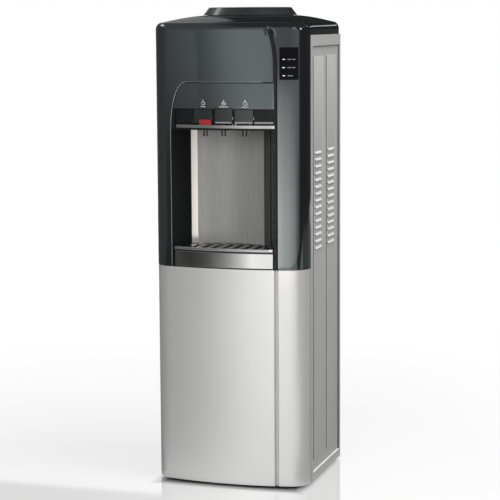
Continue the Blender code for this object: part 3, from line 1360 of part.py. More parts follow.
def build_water_tubes(parent, hot_outlet):
    """Silicone tubes from the tanks to the taps, seated face to face on their spigots."""
    spigot_y = TAP_Y + TAP_RADIUS + SPIGOT_LENGTH + GAP
    spigot_z = TAP_BASE_Z + SPIGOT_HEIGHT
    jacket_front = BOTTLE_AXIS_Y - JACKET_SIDE / 2
    rise_y = jacket_front - SHELF_OVERHANG - 2 * TUBE_RADIUS
    cold_z = TANK_SHELF_Z + 6 * TUBE_RADIUS
    for kind in ("room", "cold"):
        x = TAP_X[kind]
        points = [
            (x, rise_y - 3 * TUBE_RADIUS, spigot_z),
            (x, rise_y, spigot_z + 3 * TUBE_RADIUS),
            (x, rise_y, cold_z - 2 * TUBE_RADIUS),
            (x, rise_y + TUBE_RADIUS, cold_z),
        ]
        route = [(x, spigot_y, spigot_z), *smooth_route(points, TUBE_STEPS), (x, jacket_front - GAP, cold_z)]
        add_part(f"tube_{kind}", pipe(route, TUBE_RADIUS, 1), "silicone", parent, smooth=True)
    x = TAP_X["hot"]
    step = 3 * TUBE_RADIUS
    points = [
        (x, rise_y - step, spigot_z),
        (x + step, rise_y + 2 * step, spigot_z),
        (HOT_X - 3 * step, HOT_Y - 4 * step, spigot_z - step / 2),
        (HOT_X - step / 4, HOT_Y - step, hot_outlet + 3 * step),
        (HOT_X, HOT_Y, hot_outlet + step),
    ]
    route = [(x, spigot_y, spigot_z), *smooth_route(points, TUBE_STEPS), (HOT_X, HOT_Y, hot_outlet + GAP)]
    add_part("tube_hot", pipe(route, TUBE_RADIUS, 1), "silicone", parent, smooth=True)


def pressed_panel():
    """The right side panel's sheet as a grid whose rows and columns follow the pressed steps."""
    columns = [0, FIELD_FRONT - STEP_RUN, FIELD_FRONT]
    for left, right in PAD_SIDES:
        columns += [left, left + STEP_RUN, right - STEP_RUN, right]
    columns += [FIELD_REAR, FIELD_REAR + STEP_RUN, PANEL_DEPTH]
    rows = [
        BASE_HEIGHT,
        FIELD_BOTTOM - STEP_RUN,
        FIELD_BOTTOM,
        PAD_BOTTOM,
        PAD_BOTTOM + STEP_RUN,
        PAD_TOP - STEP_RUN,
        PAD_TOP,
        FIELD_TOP,
        FIELD_TOP + STEP_RUN,
        PANEL_TOP,
    ]

    def depth(y, z):
        if not (FIELD_FRONT <= y <= FIELD_REAR and FIELD_BOTTOM <= z <= FIELD_TOP):
            return 0
        on_pad = any(a + STEP_RUN <= y <= b - STEP_RUN for a, b in PAD_SIDES)
        if on_pad and PAD_BOTTOM + STEP_RUN <= z <= PAD_TOP - STEP_RUN:
            return FIELD_RECESS - PAD_RISE
        return FIELD_RECESS

    grid = []
    for z in rows:
        line = [(HALF_WIDTH - FLANGE_WIDTH, 0, z), (HALF_WIDTH, 0, z)]
        line = [line[0]] + [(HALF_WIDTH - depth(y, z), y, z) for y in columns]
        line.append((HALF_WIDTH - FLANGE_WIDTH, PANEL_DEPTH, z))
        grid.append(line)
    return loft(grid)


def louvre_tools():
    """Outer wedges to join to the sheet, and inner wedges to cut from it, for every louvre."""
    surface = HALF_WIDTH - FIELD_RECESS + PAD_RISE
    hoods, slots = [], []
    for left, right in LOUVRE_SIDES:
        for i in range(LOUVRE_COUNT):
            top = LOUVRE_TOP - LOUVRE_PITCH * i
            bottom = top - LOUVRE_HEIGHT
            hoods.append(
                wedge(left, right, (surface - SHEET / 2, top), (surface + LOUVRE_DEPTH, bottom), surface - SHEET / 2)
            )
            slots.append(
                wedge(
                    left + LOUVRE_SHEET,
                    right - LOUVRE_SHEET,
                    (surface - SHEET / 2 - LOUVRE_SHEET, top - LOUVRE_SHEET),
                    (surface + LOUVRE_DEPTH - LOUVRE_SHEET, bottom - LOUVRE_SHEET / 4),
                    surface - 2 * SHEET - LOUVRE_DEPTH,
                )
            )
    return merged(hoods), merged(slots)


def wedge(left, right, top, bottom, inner):
    """A hood's wedge: closed above, deepest at its lower edge, with drawn-in ends."""
    bm = bmesh.new()
    draw = bottom[0] - top[0]
    corners = [
        (top[0], left, top[1]),
        (top[0], right, top[1]),
        (bottom[0], left + draw, bottom[1]),
        (bottom[0], right - draw, bottom[1]),
        (inner, left, bottom[1]),
        (inner, right, bottom[1]),
        (inner, left, top[1]),
        (inner, right, top[1]),
    ]
    for corner in corners:
        bm.verts.new(corner)
    bmesh.ops.convex_hull(bm, input=bm.verts)
    loose = [vert for vert in bm.verts if not vert.link_faces]
    bmesh.ops.delete(bm, geom=loose, context="VERTS")
    bmesh.ops.recalc_face_normals(bm, faces=bm.faces)
    return to_mesh(bm, "wedge")


def build_side_panels(parent):
    """Both side panels: pressed sheet with folded edges and two columns of hooded louvres."""
    hoods, slots = louvre_tools()
    for side, name in ((1, "side_panel_right"), (-1, "side_panel_left")):
        mesh = pressed_panel()
        hood_mesh, slot_mesh = hoods.copy(), slots.copy()
        if side < 0:
            for shape in (mesh, hood_mesh, slot_mesh):
                shape.transform(Matrix.Diagonal((-1, 1, 1, 1)))
                shape.flip_normals()
        panel = add_part(name, mesh, "grey_paint", parent)
        add_thickness(panel, SHEET)
        combine(panel, hood_mesh, "UNION")
        combine(panel, slot_mesh)


def build_base(parent):
    """Base pan, four feet and the deck over the fridge."""
    half = HALF_WIDTH - FIELD_RECESS - SHEET - GAP
    front, rear = LINER_FLANGE_Y, REAR_PANEL_FRONT - GAP
    pan = add_part("base_pan", box((-half, front, BASE_HEIGHT), (half, rear, PAN_TOP + PAN_RIM)), "zinc", parent)
    combine(
        pan,
        box((-half + SHEET, front + SHEET, PAN_TOP), (half - SHEET, rear - SHEET, PAN_TOP + PAN_RIM + OVERRUN)),
    )
    holes = []
    foot_x = HALF_WIDTH - FOOT_INSET_X
    foot_height = BASE_HEIGHT - GAP
    profile = [
        (0, foot_height + FOOT_STUD_HEIGHT),
        (FOOT_STUD_RADIUS, foot_height + FOOT_STUD_HEIGHT),
        (FOOT_STUD_RADIUS, foot_height),
        (FOOT_RADIUS * 0.9, foot_height),
        (FOOT_RADIUS, foot_height * 0.6),
        (FOOT_RADIUS * 0.94, 0),
        (0, 0),
    ]
    for side, side_name in ((-1, "left"), (1, "right")):
        for y, end_name in ((FOOT_FRONT_Y, "front"), (FOOT_REAR_Y, "rear")):
            place = (side * foot_x, y, 0)
            add_part(f"foot_{end_name}_{side_name}", turned(profile, 16), "rubber", parent, place, smooth=True)
            low = (side * foot_x, y, BASE_HEIGHT - OVERRUN)
            holes.append(rod(low, (side * foot_x, y, PAN_TOP + OVERRUN / 2), FOOT_STUD_RADIUS + GAP, 16))
    combine(pan, merged(holes))
    deck = add_part("machine_deck", box((-half, front, DECK_BOTTOM), (half, rear, DECK_TOP)), "zinc", parent)
    rear_rim = box((-half, rear - SHEET, DECK_BOTTOM + SHEET / 2), (half, rear, DECK_TOP + DECK_RIM))
    combine(deck, rear_rim, "UNION")
    return half


def foam_profile(rear):
    """Side view of the fridge foam, with the step over the compressor."""
    return [
        (LINER_FLANGE_Y + 2 * SHEET + GAP, PAN_TOP + GAP),
        (MACHINE_FRONT, PAN_TOP + GAP),
        (MACHINE_FRONT, MACHINE_TOP),
        (rear, MACHINE_TOP),
        (rear, DECK_BOTTOM - GAP),
        (LINER_FLANGE_Y + 2 * SHEET + GAP, DECK_BOTTOM - GAP),
    ]


def liner_profile(front, grow):
    """Side view of the fridge liner's inside, with the hump, grown outwards by a wall."""
    return [
        (front, LINER_BOTTOM - grow),
        (HUMP_FRONT + grow, LINER_BOTTOM - grow),
        (HUMP_FRONT + grow, HUMP_TOP - grow),
        (LINER_DEPTH + grow, HUMP_TOP - grow),
        (LINER_DEPTH + grow, LINER_TOP + grow),
        (front, LINER_TOP + grow),
    ]


def build_fridge(parent, half):
    """Fridge foam, liner with flange and hump, cold plate and wire shelf."""
    rear = REAR_PANEL_FRONT - FOAM_REAR_GAP
    foam_half = half - SHEET - GAP
    foam = add_part("fridge_foam", extrusion([foam_profile(rear)], -foam_half, foam_half, "X"), "foam", parent)
    hollow = THIN_MOULDING + GAP
    side = LINER_HALF_WIDTH + hollow
    combine(foam, extrusion([liner_profile(-OVERRUN, hollow)], -side, side, "X"))
    studs = []
    for x in (-HALF_WIDTH + FOOT_INSET_X, HALF_WIDTH - FOOT_INSET_X):
        for y in (FOOT_FRONT_Y, FOOT_REAR_Y):
            end = (x, y, BASE_HEIGHT + FOOT_STUD_HEIGHT + GAP)
            studs.append(rod((x, y, BASE_HEIGHT - OVERRUN), end, FOOT_STUD_RADIUS + GAP, 12))
    combine(foam, merged(studs))
    flange_y = LINER_FLANGE_Y
    flange_rear = flange_y + THIN_MOULDING
    outer_half = LINER_HALF_WIDTH + THIN_MOULDING
    liner = add_part(
        "fridge_liner",
        extrusion([liner_profile(flange_y + THIN_MOULDING / 2, THIN_MOULDING)], -outer_half, outer_half, "X"),
        "white_plastic",
        parent,
    )
    flange = box(
        (-LINER_FLANGE_HALF_WIDTH, flange_y, LINER_FLANGE_BOTTOM),
        (LINER_FLANGE_HALF_WIDTH, flange_rear, LINER_FLANGE_TOP),
    )
    combine(liner, flange, "UNION")
    inside = add_helper(
        "liner_inside",
        extrusion([liner_profile(flange_y - OVERRUN, 0)], -LINER_HALF_WIDTH, LINER_HALF_WIDTH, "X"),
        parent,
    )
    join_object(liner, inside, "DIFFERENCE")
    ledges = []
    for side_sign in (-1, 1):
        wall = side_sign * (LINER_HALF_WIDTH + THIN_MOULDING / 2)
        edge = side_sign * (LINER_HALF_WIDTH - SHELF_LEDGE)
        low = (min(wall, edge), SHELF_FRONT_Y, SHELF_Z - GAP - SHELF_LEDGE_HEIGHT)
        ledges.append(box(low, (max(wall, edge), LINER_DEPTH - OVERRUN, SHELF_Z - GAP)))
    combine(liner, merged(ledges), "UNION")
    add_part("fridge_shelf", shelf_mesh(), "bright_steel", parent)
    build_cold_plate(parent)


def shelf_mesh():
    """Wire shelf: a frame with bars, resting on the liner's ledges."""
    outer_half = LINER_HALF_WIDTH - GAP
    back = LINER_DEPTH - GAP
    outline = [(-outer_half, SHELF_FRONT_Y), (outer_half, SHELF_FRONT_Y), (outer_half, back), (-outer_half, back)]
    inner_half = outer_half - SHELF_BAR
    pitch = (2 * inner_half + SHELF_BAR) / (SHELF_BARS + 1)
    slots = []
    for i in range(SHELF_BARS + 1):
        left = -inner_half + pitch * i
        right = left + pitch - SHELF_BAR
        slots.append(
            [
                (left, SHELF_FRONT_Y + SHELF_BAR),
                (right, SHELF_FRONT_Y + SHELF_BAR),
                (right, back - SHELF_BAR),
                (left, back - SHELF_BAR),
            ]
        )
    return extrusion([outline, *slots], SHELF_Z, SHELF_Z + SHELF_BAR)


def build_cold_plate(parent):
    """The fridge's cold plate: a folded plate hung from the liner's ceiling."""
    half = LINER_HALF_WIDTH - EVAPORATOR_SIDE_GAP
    rear = LINER_DEPTH - EVAPORATOR_HANGER
    low_z = LINER_TOP - EVAPORATOR_DROP
    top = LINER_TOP - GAP
    plate = add_part(
        "cold_plate",
        box((-half, rear - EVAPORATOR_DEPTH, low_z), (half, rear, low_z + EVAPORATOR_SHEET)),
        "zinc",
        parent,
    )
    fold = box((-half, rear - EVAPORATOR_SHEET, low_z), (half, rear, top - EVAPORATOR_HANGER))
    combine(plate, fold, "UNION")
    hangers = []
    for x in (-half, half - EVAPORATOR_HANGER):
        for y in (rear - EVAPORATOR_DEPTH + EVAPORATOR_HANGER, rear - EVAPORATOR_SHEET):
            high = (x + EVAPORATOR_HANGER, y + EVAPORATOR_SHEET, top)
            hangers.append(box((x, y, low_z + EVAPORATOR_SHEET / 2), high))
    combine(plate, merged(hangers), "UNION")


def door_line(inset):
    """The door's outer plan line from the right rear edge round the front to the hinge side's rear edge."""
    before, channel, after = grooved_line(GROOVE_X, GRIP_DEPTH, DOOR_SIDE_INSET)
    rear = -DOOR_REAR_GAP
    side = HALF_WIDTH - DOOR_SIDE_INSET
    hinge_arc = rounded_corner(-side, rear, DOOR_HINGE_ROUNDING, 4)
    lock_arc = [(-x, y) for x, y in rounded_corner(-side, rear, DOOR_LOCK_ROUNDING, 2)]
    line = before + channel + after
    low = rear - DOOR_HINGE_ROUNDING
    line = [(x, y) for x, y in line if not (x < 0 and y > low - DOOR_HINGE_ROUNDING / 4)]
    line = [(x, y) for x, y in line if not (x > 0 and y > rear - 2 * DOOR_LOCK_ROUNDING)]
    return [*hinge_arc, *line, *lock_arc[::-1]]


def rounded_corner(x, y, radius, steps):
    """Points round the rear left corner of a plan, from the rear edge to the side."""
    points = []
    for i in range(steps + 1):
        turn = math.pi / 2 * i / steps
        points.append((x + radius * (1 - math.sin(turn)), y - radius * (1 - math.cos(turn))))
    return points


def inward(line, distance):
    """An open plan line moved towards its left-hand side by a distance, corner by corner."""
    moved_line = []
    for i, point in enumerate(line):
        here = Vector(point)
        before = Vector(line[i - 1]) if i else here - (Vector(line[1]) - here)
        after = Vector(line[i + 1]) if i + 1 < len(line) else here + (here - Vector(line[i - 1]))
        first = (here - before).normalized()
        second = (after - here).normalized()
        normal_a = Vector((-first.y, first.x))
        normal_b = Vector((-second.y, second.x))
        half = (normal_a + normal_b).normalized()
        moved_line.append(tuple(here + half * distance / max(half.dot(normal_a), 0.5)))
    return moved_line


def build_door(parent):
    """The fridge door on its hinge axis: skin, end caps, foam, inner panel and gasket."""
    axis = add_datum("door_axis", (HINGE_X, HINGE_Y, 0), parent)
    shift = (-HINGE_X, -HINGE_Y, 0)
    outer = door_line(0)
    rear = -DOOR_REAR_GAP
    half_left = -HALF_WIDTH + DOOR_SIDE_INSET + DOOR_RETURN
    half_right = HALF_WIDTH - DOOR_SIDE_INSET - DOOR_RETURN
    line = [(half_left, rear), *outer, (half_right, rear)]
    rows = [[(x, y, z) for x, y in line] for z in (DOOR_BOTTOM, DOOR_TOP)]
    skin = add_part("door_skin", moved(loft(rows), shift), "silver_paint", axis, smooth=True)
    add_thickness(skin, DOOR_SHEET)
    inner = inward(outer, DOOR_SHEET + GAP)
    cap_rear = rear - DOOR_SHEET - GAP
    cap_plan = closed_plan(inner, cap_rear)
    pin_x, pin_y = HINGE_X, HINGE_Y
    for name, low, high in (
        ("door_top_cap", DOOR_TOP - CAP_THICKNESS, DOOR_TOP),
        ("door_bottom_cap", DOOR_BOTTOM, DOOR_BOTTOM + CAP_THICKNESS),
    ):
        cap = add_part(name, moved(extrusion([cap_plan], low, high), shift), "black_plastic", axis)
        bore = rod((pin_x, pin_y, low - OVERRUN), (pin_x, pin_y, high + OVERRUN), HINGE_PIN_RADIUS + RUNNING_GAP, 24)
        combine(cap, moved(bore, shift))
    inside_bottom = DOOR_BOTTOM + CAP_THICKNESS + GAP
    inside_top = DOOR_TOP - CAP_THICKNESS - GAP
    foam_plan = closed_plan(inner, DOOR_PANEL_Y - DOOR_PANEL_THICKNESS - GAP)
    foam = extrusion([foam_plan], inside_bottom, inside_top)
    add_part("door_foam", moved(foam, shift), "foam", axis)
    panel_half = HALF_WIDTH - DOOR_SIDE_INSET - DOOR_HINGE_ROUNDING
    panel = add_part(
        "door_inner_panel",
        moved(
            box((-panel_half, DOOR_PANEL_Y - DOOR_PANEL_THICKNESS, inside_bottom), (panel_half, DOOR_PANEL_Y, inside_top)),
            shift,
        ),
        "white_plastic",
        axis,
    )
    dyke_rear = LINER_FLANGE_Y + DYKE_REACH
    outer_frame = frame_outline(DYKE_HALF_WIDTH, DYKE_BOTTOM, DYKE_TOP)
    inner_frame = frame_outline(DYKE_HALF_WIDTH - DYKE_WIDTH, DYKE_BOTTOM + DYKE_WIDTH, DYKE_TOP - DYKE_WIDTH)
    dyke = extrusion([outer_frame, inner_frame], DOOR_PANEL_Y - DOOR_PANEL_THICKNESS / 2, dyke_rear, "Y")
    combine(panel, moved(dyke, shift), "UNION")
    outer_frame = frame_outline(GASKET_HALF_WIDTH, GASKET_BOTTOM, GASKET_TOP)
    inner_frame = frame_outline(
        GASKET_HALF_WIDTH - GASKET_WIDTH, GASKET_BOTTOM + GASKET_WIDTH, GASKET_TOP - GASKET_WIDTH
    )
    gasket = extrusion([outer_frame, inner_frame], DOOR_PANEL_Y + GAP, LINER_FLANGE_Y - GAP, "Y")
    add_part("door_gasket", moved(gasket, shift), "rubber", axis)


def closed_plan(line, rear):
    """The part of a plan line that lies in front of a rear plane, ready to be closed along it."""
    first = next(i for i, point in enumerate(line) if point[1] < rear)
    last = max(i for i, point in enumerate(line) if point[1] < rear)

    def crossing(inside, outside):
        share = (rear - inside[1]) / (outside[1] - inside[1])
        return inside[0] + (outside[0] - inside[0]) * share, rear

    return [crossing(line[first], line[first - 1]), *line[first : last + 1], crossing(line[last], line[last + 1])]


def frame_outline(half_width, bottom, top):
    return [(-half_width, bottom), (half_width, bottom), (half_width, top), (-half_width, top)]


def build_hinges(parent):
    """Hinge brackets with their pins: one over the door inside the fascia, one under it."""
    plate_left = -HALF_WIDTH + MOULDING + 3 * GAP
    neck_left = -HALF_WIDTH + FLANGE_WIDTH + 2 * GAP
    inner = -HINGE_PLATE_INNER_X
    front = HINGE_Y - HINGE_PLATE_WIDTH / 2 - GAP
    reach = HINGE_PLATE_REACH
    outline = [
        (plate_left, front),
        (inner, front),
        (inner, reach),
        (neck_left, reach),
        (neck_left, -3 * GAP),
        (plate_left, -3 * GAP),
    ]
    places = (
        ("hinge_top", DECK_TOP + GAP, -HINGE_PIN_LENGTH, HINGE_TOP_REACH),
        ("hinge_bottom", BASE_HEIGHT - GAP - HINGE_PLATE, HINGE_PIN_LENGTH, HINGE_PLATE_REACH),
    )
    for name, low, pin, tail in places:
        plan = [(x, tail if y == reach else y) for x, y in outline]
        bracket = add_part(name, extrusion([plan], low, low + HINGE_PLATE), "zinc", parent)
        combine(bracket, front_block(MOULDING + 2 * GAP, PANEL_DEPTH, 0, PANEL_TOP), "INTERSECT")
        start = low + HINGE_PLATE / 2
        end = low + pin if pin < 0 else low + HINGE_PLATE + pin
        combine(bracket, rod((HINGE_X, HINGE_Y, start), (HINGE_X, HINGE_Y, end), HINGE_PIN_RADIUS, 24), "UNION")


def build_rear(parent):
    """Rear panel with its slots, switches, dial and cord inlet."""
    half = HALF_WIDTH - FIELD_RECESS - SHEET - GAP
    panel = add_part(
        "rear_panel",
        box((-half, REAR_PANEL_FRONT, MACHINE_TOP + GAP), (half, REAR_FACE, PANEL_TOP - GAP)),
        "grey_paint",
        parent,
    )
    cuts = []
    for i in range(REAR_SLOT_COUNT):
        low = REAR_SLOT_BOTTOM + REAR_SLOT_PITCH * i
        cuts.append(
            box(
                (-REAR_SLOT_WIDTH / 2, REAR_PANEL_FRONT - OVERRUN, low),
                (REAR_SLOT_WIDTH / 2, REAR_FACE + OVERRUN, low + REAR_SLOT_HEIGHT),
            )
        )
    first, last = SWITCH_X["heater"], SWITCH_X["cooling"]
    cuts.append(
        box(
            (first - SWITCH_WIDTH / 2, REAR_PANEL_FRONT - OVERRUN, SWITCH_Z - SWITCH_HEIGHT / 2),
            (last + SWITCH_WIDTH / 2, REAR_FACE + OVERRUN, SWITCH_Z + SWITCH_HEIGHT / 2),
        )
    )
    shaft_hole = DIAL_SHAFT_RADIUS + GAP
    cuts.append(
        rod((DIAL_X, REAR_PANEL_FRONT - OVERRUN, SWITCH_Z), (DIAL_X, REAR_FACE + OVERRUN, SWITCH_Z), shaft_hole, 12)
    )
    cuts.append(
        box(
            (INLET_X - INLET_WIDTH / 2, REAR_PANEL_FRONT - OVERRUN, INLET_Z - INLET_HEIGHT / 2),
            (INLET_X + INLET_WIDTH / 2, REAR_FACE + OVERRUN, INLET_Z + INLET_HEIGHT / 2),
        )
    )
    combine(panel, merged(cuts))
    build_switches(parent)
    build_dial(parent)
    build_inlet(parent)


def build_switches(parent):
    """Two rocker switches in one housing snapped into the rear panel."""
    half_w, half_h = SWITCH_WIDTH / 2 - GAP, SWITCH_HEIGHT / 2 - GAP
    first, last = SWITCH_X["heater"], SWITCH_X["cooling"]
    low = (first - half_w, REAR_FACE - SWITCH_DEPTH, SWITCH_Z - half_h)
    high = (last + half_w, REAR_FACE + GAP + SWITCH_BEZEL, SWITCH_Z + half_h)
    housing = add_part("switch_housing", box(low, high), "black_plastic", parent)
    rim_low = (low[0] - SWITCH_BEZEL, REAR_FACE + GAP, low[2] - SWITCH_BEZEL)
    rim_high = (high[0] + SWITCH_BEZEL, high[1], high[2] + SWITCH_BEZEL)
    combine(housing, box(rim_low, rim_high), "UNION")
    well = SWITCH_BEZEL / 2
    wells = []
    for x in SWITCH_X.values():
        well_low = (x - half_w + well, REAR_FACE - SWITCH_DEPTH / 2, SWITCH_Z - half_h + well)
        wells.append(box(well_low, (x + half_w - well, high[1] + OVERRUN, SWITCH_Z + half_h - well)))
    combine(housing, merged(wells))
    rocker_half = half_w - well - GAP
    reach = half_h - well - 2 * GAP
    outline = [
        (GAP + SWITCH_BEZEL / 2, -reach * 0.94),
        (GAP + SWITCH_BEZEL / 2, 0),
        (GAP + SWITCH_BEZEL * 2.2, reach * 0.84),
        (-SWITCH_BEZEL, reach * 0.8),
        (-SWITCH_BEZEL * 1.4, 0),
        (-SWITCH_BEZEL, -reach * 0.8),
    ]
    for kind, x in SWITCH_X.items():
        rocker_mesh = extrusion([outline], -rocker_half, rocker_half, "X")
        add_part(f"rocker_{kind}", rocker_mesh, "red_plastic", parent, (x, REAR_FACE, SWITCH_Z))


def build_dial(parent):
    """Thermostat dial with finger flutes, its shaft passing through the panel."""
    flutes = []
    for i in range(DIAL_FLUTES):
        turn = 2 * math.pi * i / DIAL_FLUTES
        x, z = DIAL_RADIUS * math.cos(turn), DIAL_RADIUS * math.sin(turn)
        flutes.append(rod((x, -OVERRUN, z), (x, DIAL_THICKNESS + OVERRUN, z), DIAL_FLUTE_RADIUS, 6))
    dial = add_part(
        "thermostat_dial",
        rod((0, 0, 0), (0, DIAL_THICKNESS, 0), DIAL_RADIUS, 24),
        "black_plastic",
        parent,
        (DIAL_X, REAR_FACE + GAP, SWITCH_Z),
    )
    combine(dial, merged(flutes))
    shaft = rod((0, -DIAL_SHAFT_LENGTH, 0), (0, DIAL_THICKNESS / 2, 0), DIAL_SHAFT_RADIUS, 16)
    combine(dial, shaft, "UNION")


def build_inlet(parent):
    """Cord inlet in the rear panel."""
    half_w, half_h = INLET_WIDTH / 2 - GAP, INLET_HEIGHT / 2 - GAP
    inlet = add_part(
        "cord_inlet",
        box((-half_w, -INLET_DEPTH, -half_h), (half_w, GAP + INLET_FLANGE, half_h)),
        "black_plastic",
        parent,
        (INLET_X, REAR_FACE, INLET_Z),
    )
    flange = box(
        (-half_w - INLET_FLANGE, GAP, -half_h - INLET_FLANGE),
        (half_w + INLET_FLANGE, GAP + INLET_FLANGE, half_h + INLET_FLANGE),
    )
    combine(inlet, flange, "UNION")
    wall = INLET_FLANGE
    well_low = (-half_w + wall, -INLET_DEPTH + wall, -half_h + wall)
    combine(inlet, box(well_low, (half_w - wall, INLET_FLANGE + OVERRUN, half_h - wall)))


def build_condenser(parent, stub_end):
    """Condenser: tube from the compressor through eleven rows, and the wire lattice that carries it."""
    y = PANEL_DEPTH + REAR_SPACE - WIRE_SIZE - GAP - CONDENSER_TUBE
    bend = CONDENSER_PITCH / 2
    straight = CONDENSER_HALF_WIDTH - bend
    x, stub_y, z = stub_end
    row_z = CONDENSER_BOTTOM
    lead = [
        (x + bend, stub_y, z),
        (straight, stub_y + bend, z + bend / 2),
        (CONDENSER_HALF_WIDTH, y - bend, z + 2 * bend),
        (CONDENSER_HALF_WIDTH, y, row_z - bend),
    ]
    points = [(x + GAP, stub_y, z), *smooth_route(lead, TUBE_STEPS)]
    for i in range(1, CONDENSER_BEND_POINTS // 2):
        turn = math.pi * i / (CONDENSER_BEND_POINTS - 1)
        points.append((straight + bend * math.cos(turn), y, row_z - bend * (1 - math.sin(turn))))
    for row in range(CONDENSER_ROWS):
        row_z = CONDENSER_BOTTOM + CONDENSER_PITCH * row
        side = -1 if row % 2 == 0 else 1
        points.append((-side * straight, y, row_z))
        points.append((side * straight, y, row_z))
        if row < CONDENSER_ROWS - 1:
            for i in range(1, CONDENSER_BEND_POINTS - 1):
                turn = math.pi * i / (CONDENSER_BEND_POINTS - 1)
                across = side * (straight + bend * math.sin(turn))
                points.append((across, y, row_z + bend * (1 - math.cos(turn))))
    points.append((side * (straight + bend * 0.7), y - bend * 0.3, row_z))
    points.append((side * CONDENSER_HALF_WIDTH, y - bend, row_z))
    points.append((side * CONDENSER_HALF_WIDTH, REAR_FACE + GAP, row_z))
    add_part("condenser_tube", pipe(points, CONDENSER_TUBE, 1), "dark_paint", parent, smooth=True)
    low = CONDENSER_BOTTOM - WIRE_OVERHANG
    high = CONDENSER_BOTTOM + CONDENSER_PITCH * (CONDENSER_ROWS - 1) + WIRE_OVERHANG
    half = WIRE_PITCH * (WIRE_COUNT - 1) / 2 + WIRE_SIZE / 2
    rear = PANEL_DEPTH + REAR_SPACE
    slots = []
    for i in range(WIRE_COUNT - 1):
        left = -half + WIRE_SIZE + WIRE_PITCH * i
        right = left + WIRE_PITCH - WIRE_SIZE
        slot_low = (left, rear - 2 * WIRE_SIZE, low + WIRE_SIZE)
        slots.append(box(slot_low, (right, rear + WIRE_SIZE, high - WIRE_SIZE)))
    lattice = box((-half, rear - WIRE_SIZE, low), (half, rear, high))
    wires = add_part("condenser_wires", lattice, "dark_paint", parent)
    brackets = [bracket_mesh(side, low + GAP) for side in (-1, 1)]
    brackets += [bracket_mesh(side, high - GAP - BRACKET_HEIGHT) for side in (-1, 1)]
    combine(wires, merged(brackets), "UNION")
    combine(wires, merged(slots))


def bracket_mesh(side, bottom):
    """A cranked strip from the lattice's corner to the rear panel."""
    inner = WIRE_PITCH * (WIRE_COUNT - 1) / 2
    front = REAR_FACE + GAP
    rear = PANEL_DEPTH + REAR_SPACE - RUNNING_GAP
    outline = [
        (inner, rear - BRACKET_THICKNESS),
        (inner, rear),
        (BRACKET_X + BRACKET_THICKNESS, rear),
        (BRACKET_X + BRACKET_THICKNESS, front + BRACKET_THICKNESS),
        (BRACKET_X + BRACKET_WIDTH, front + BRACKET_THICKNESS),
        (BRACKET_X + BRACKET_WIDTH, front),
        (BRACKET_X, front),
        (BRACKET_X, rear - BRACKET_THICKNESS),
    ]
    return extrusion([[(side * x, y) for x, y in outline]], bottom, bottom + BRACKET_HEIGHT)


def build_compressor(parent):
    """Compressor in its bay: welded shell on a foot plate; returns the end of its outlet stub."""
    profile = [(0, COMPRESSOR_HEIGHT)]
    upper = COMPRESSOR_HEIGHT * 0.42
    seam = COMPRESSOR_HEIGHT - upper
    for i in range(1, 5):
        turn = math.pi / 2 * i / 4
        profile.append((COMPRESSOR_RADIUS * math.sin(turn) ** 0.8, seam + upper * math.cos(turn) ** 0.8))
    profile[-1] = (COMPRESSOR_RADIUS, seam + COMPRESSOR_SEAM)
    profile += [
        (COMPRESSOR_RADIUS + COMPRESSOR_SEAM, seam + COMPRESSOR_SEAM),
        (COMPRESSOR_RADIUS + COMPRESSOR_SEAM, seam),
        (COMPRESSOR_RADIUS, seam),
        (COMPRESSOR_RADIUS, upper * 0.5),
        (COMPRESSOR_RADIUS * 0.8, COMPRESSOR_FOOT_SHEET),
        (0, COMPRESSOR_FOOT_SHEET),
    ]
    base = PAN_TOP + GAP
    place = (COMPRESSOR_X, COMPRESSOR_Y, base)
    shell = add_part("compressor", turned(profile, 20), "dark_paint", parent, place, smooth=True)
    half_x, half_y = COMPRESSOR_FOOT / 2, COMPRESSOR_FOOT_DEPTH / 2
    combine(shell, box((-half_x, -half_y, 0), (half_x, half_y, 2 * COMPRESSOR_FOOT_SHEET)), "UNION")
    stub_z = COMPRESSOR_HEIGHT * 0.45
    stub = rod((0, 0, stub_z), (COMPRESSOR_RADIUS + STUB_LENGTH, 0, stub_z), STUB_RADIUS, 10)
    combine(shell, stub, "UNION")
    return COMPRESSOR_X + COMPRESSOR_RADIUS + STUB_LENGTH, COMPRESSOR_Y, base + stub_z


def build_water_cooler():
    clear_scene()
    cabinet = add_datum("cabinet_datum", (0, PANEL_FRONT_Y, 0))
    fascia = build_fascia(cabinet)
    build_display(cabinet, fascia)
    build_bay_frame(cabinet)
    build_bay_trim(cabinet)
    build_keys(cabinet)
    build_taps(cabinet)
    build_tray(cabinet)
    build_cover(cabinet)
    build_bottle_seat(cabinet)
    hot_outlet = build_hot_tank(cabinet)
    build_water_tubes(cabinet, hot_outlet)
    build_side_panels(cabinet)
    half = build_base(cabinet)
    build_cold_tank(cabinet, half)
    build_fridge(cabinet, half)
    build_door(cabinet)
    build_hinges(cabinet)
    build_rear(cabinet)
    stub_end = build_compressor(cabinet)
    build_condenser(cabinet, stub_end)
    bpy.context.view_layer.update()


build_water_cooler()
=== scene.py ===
import json
import math

import bmesh
import bpy
from mathutils import Matrix, Vector
from mathutils.bvhtree import BVHTree


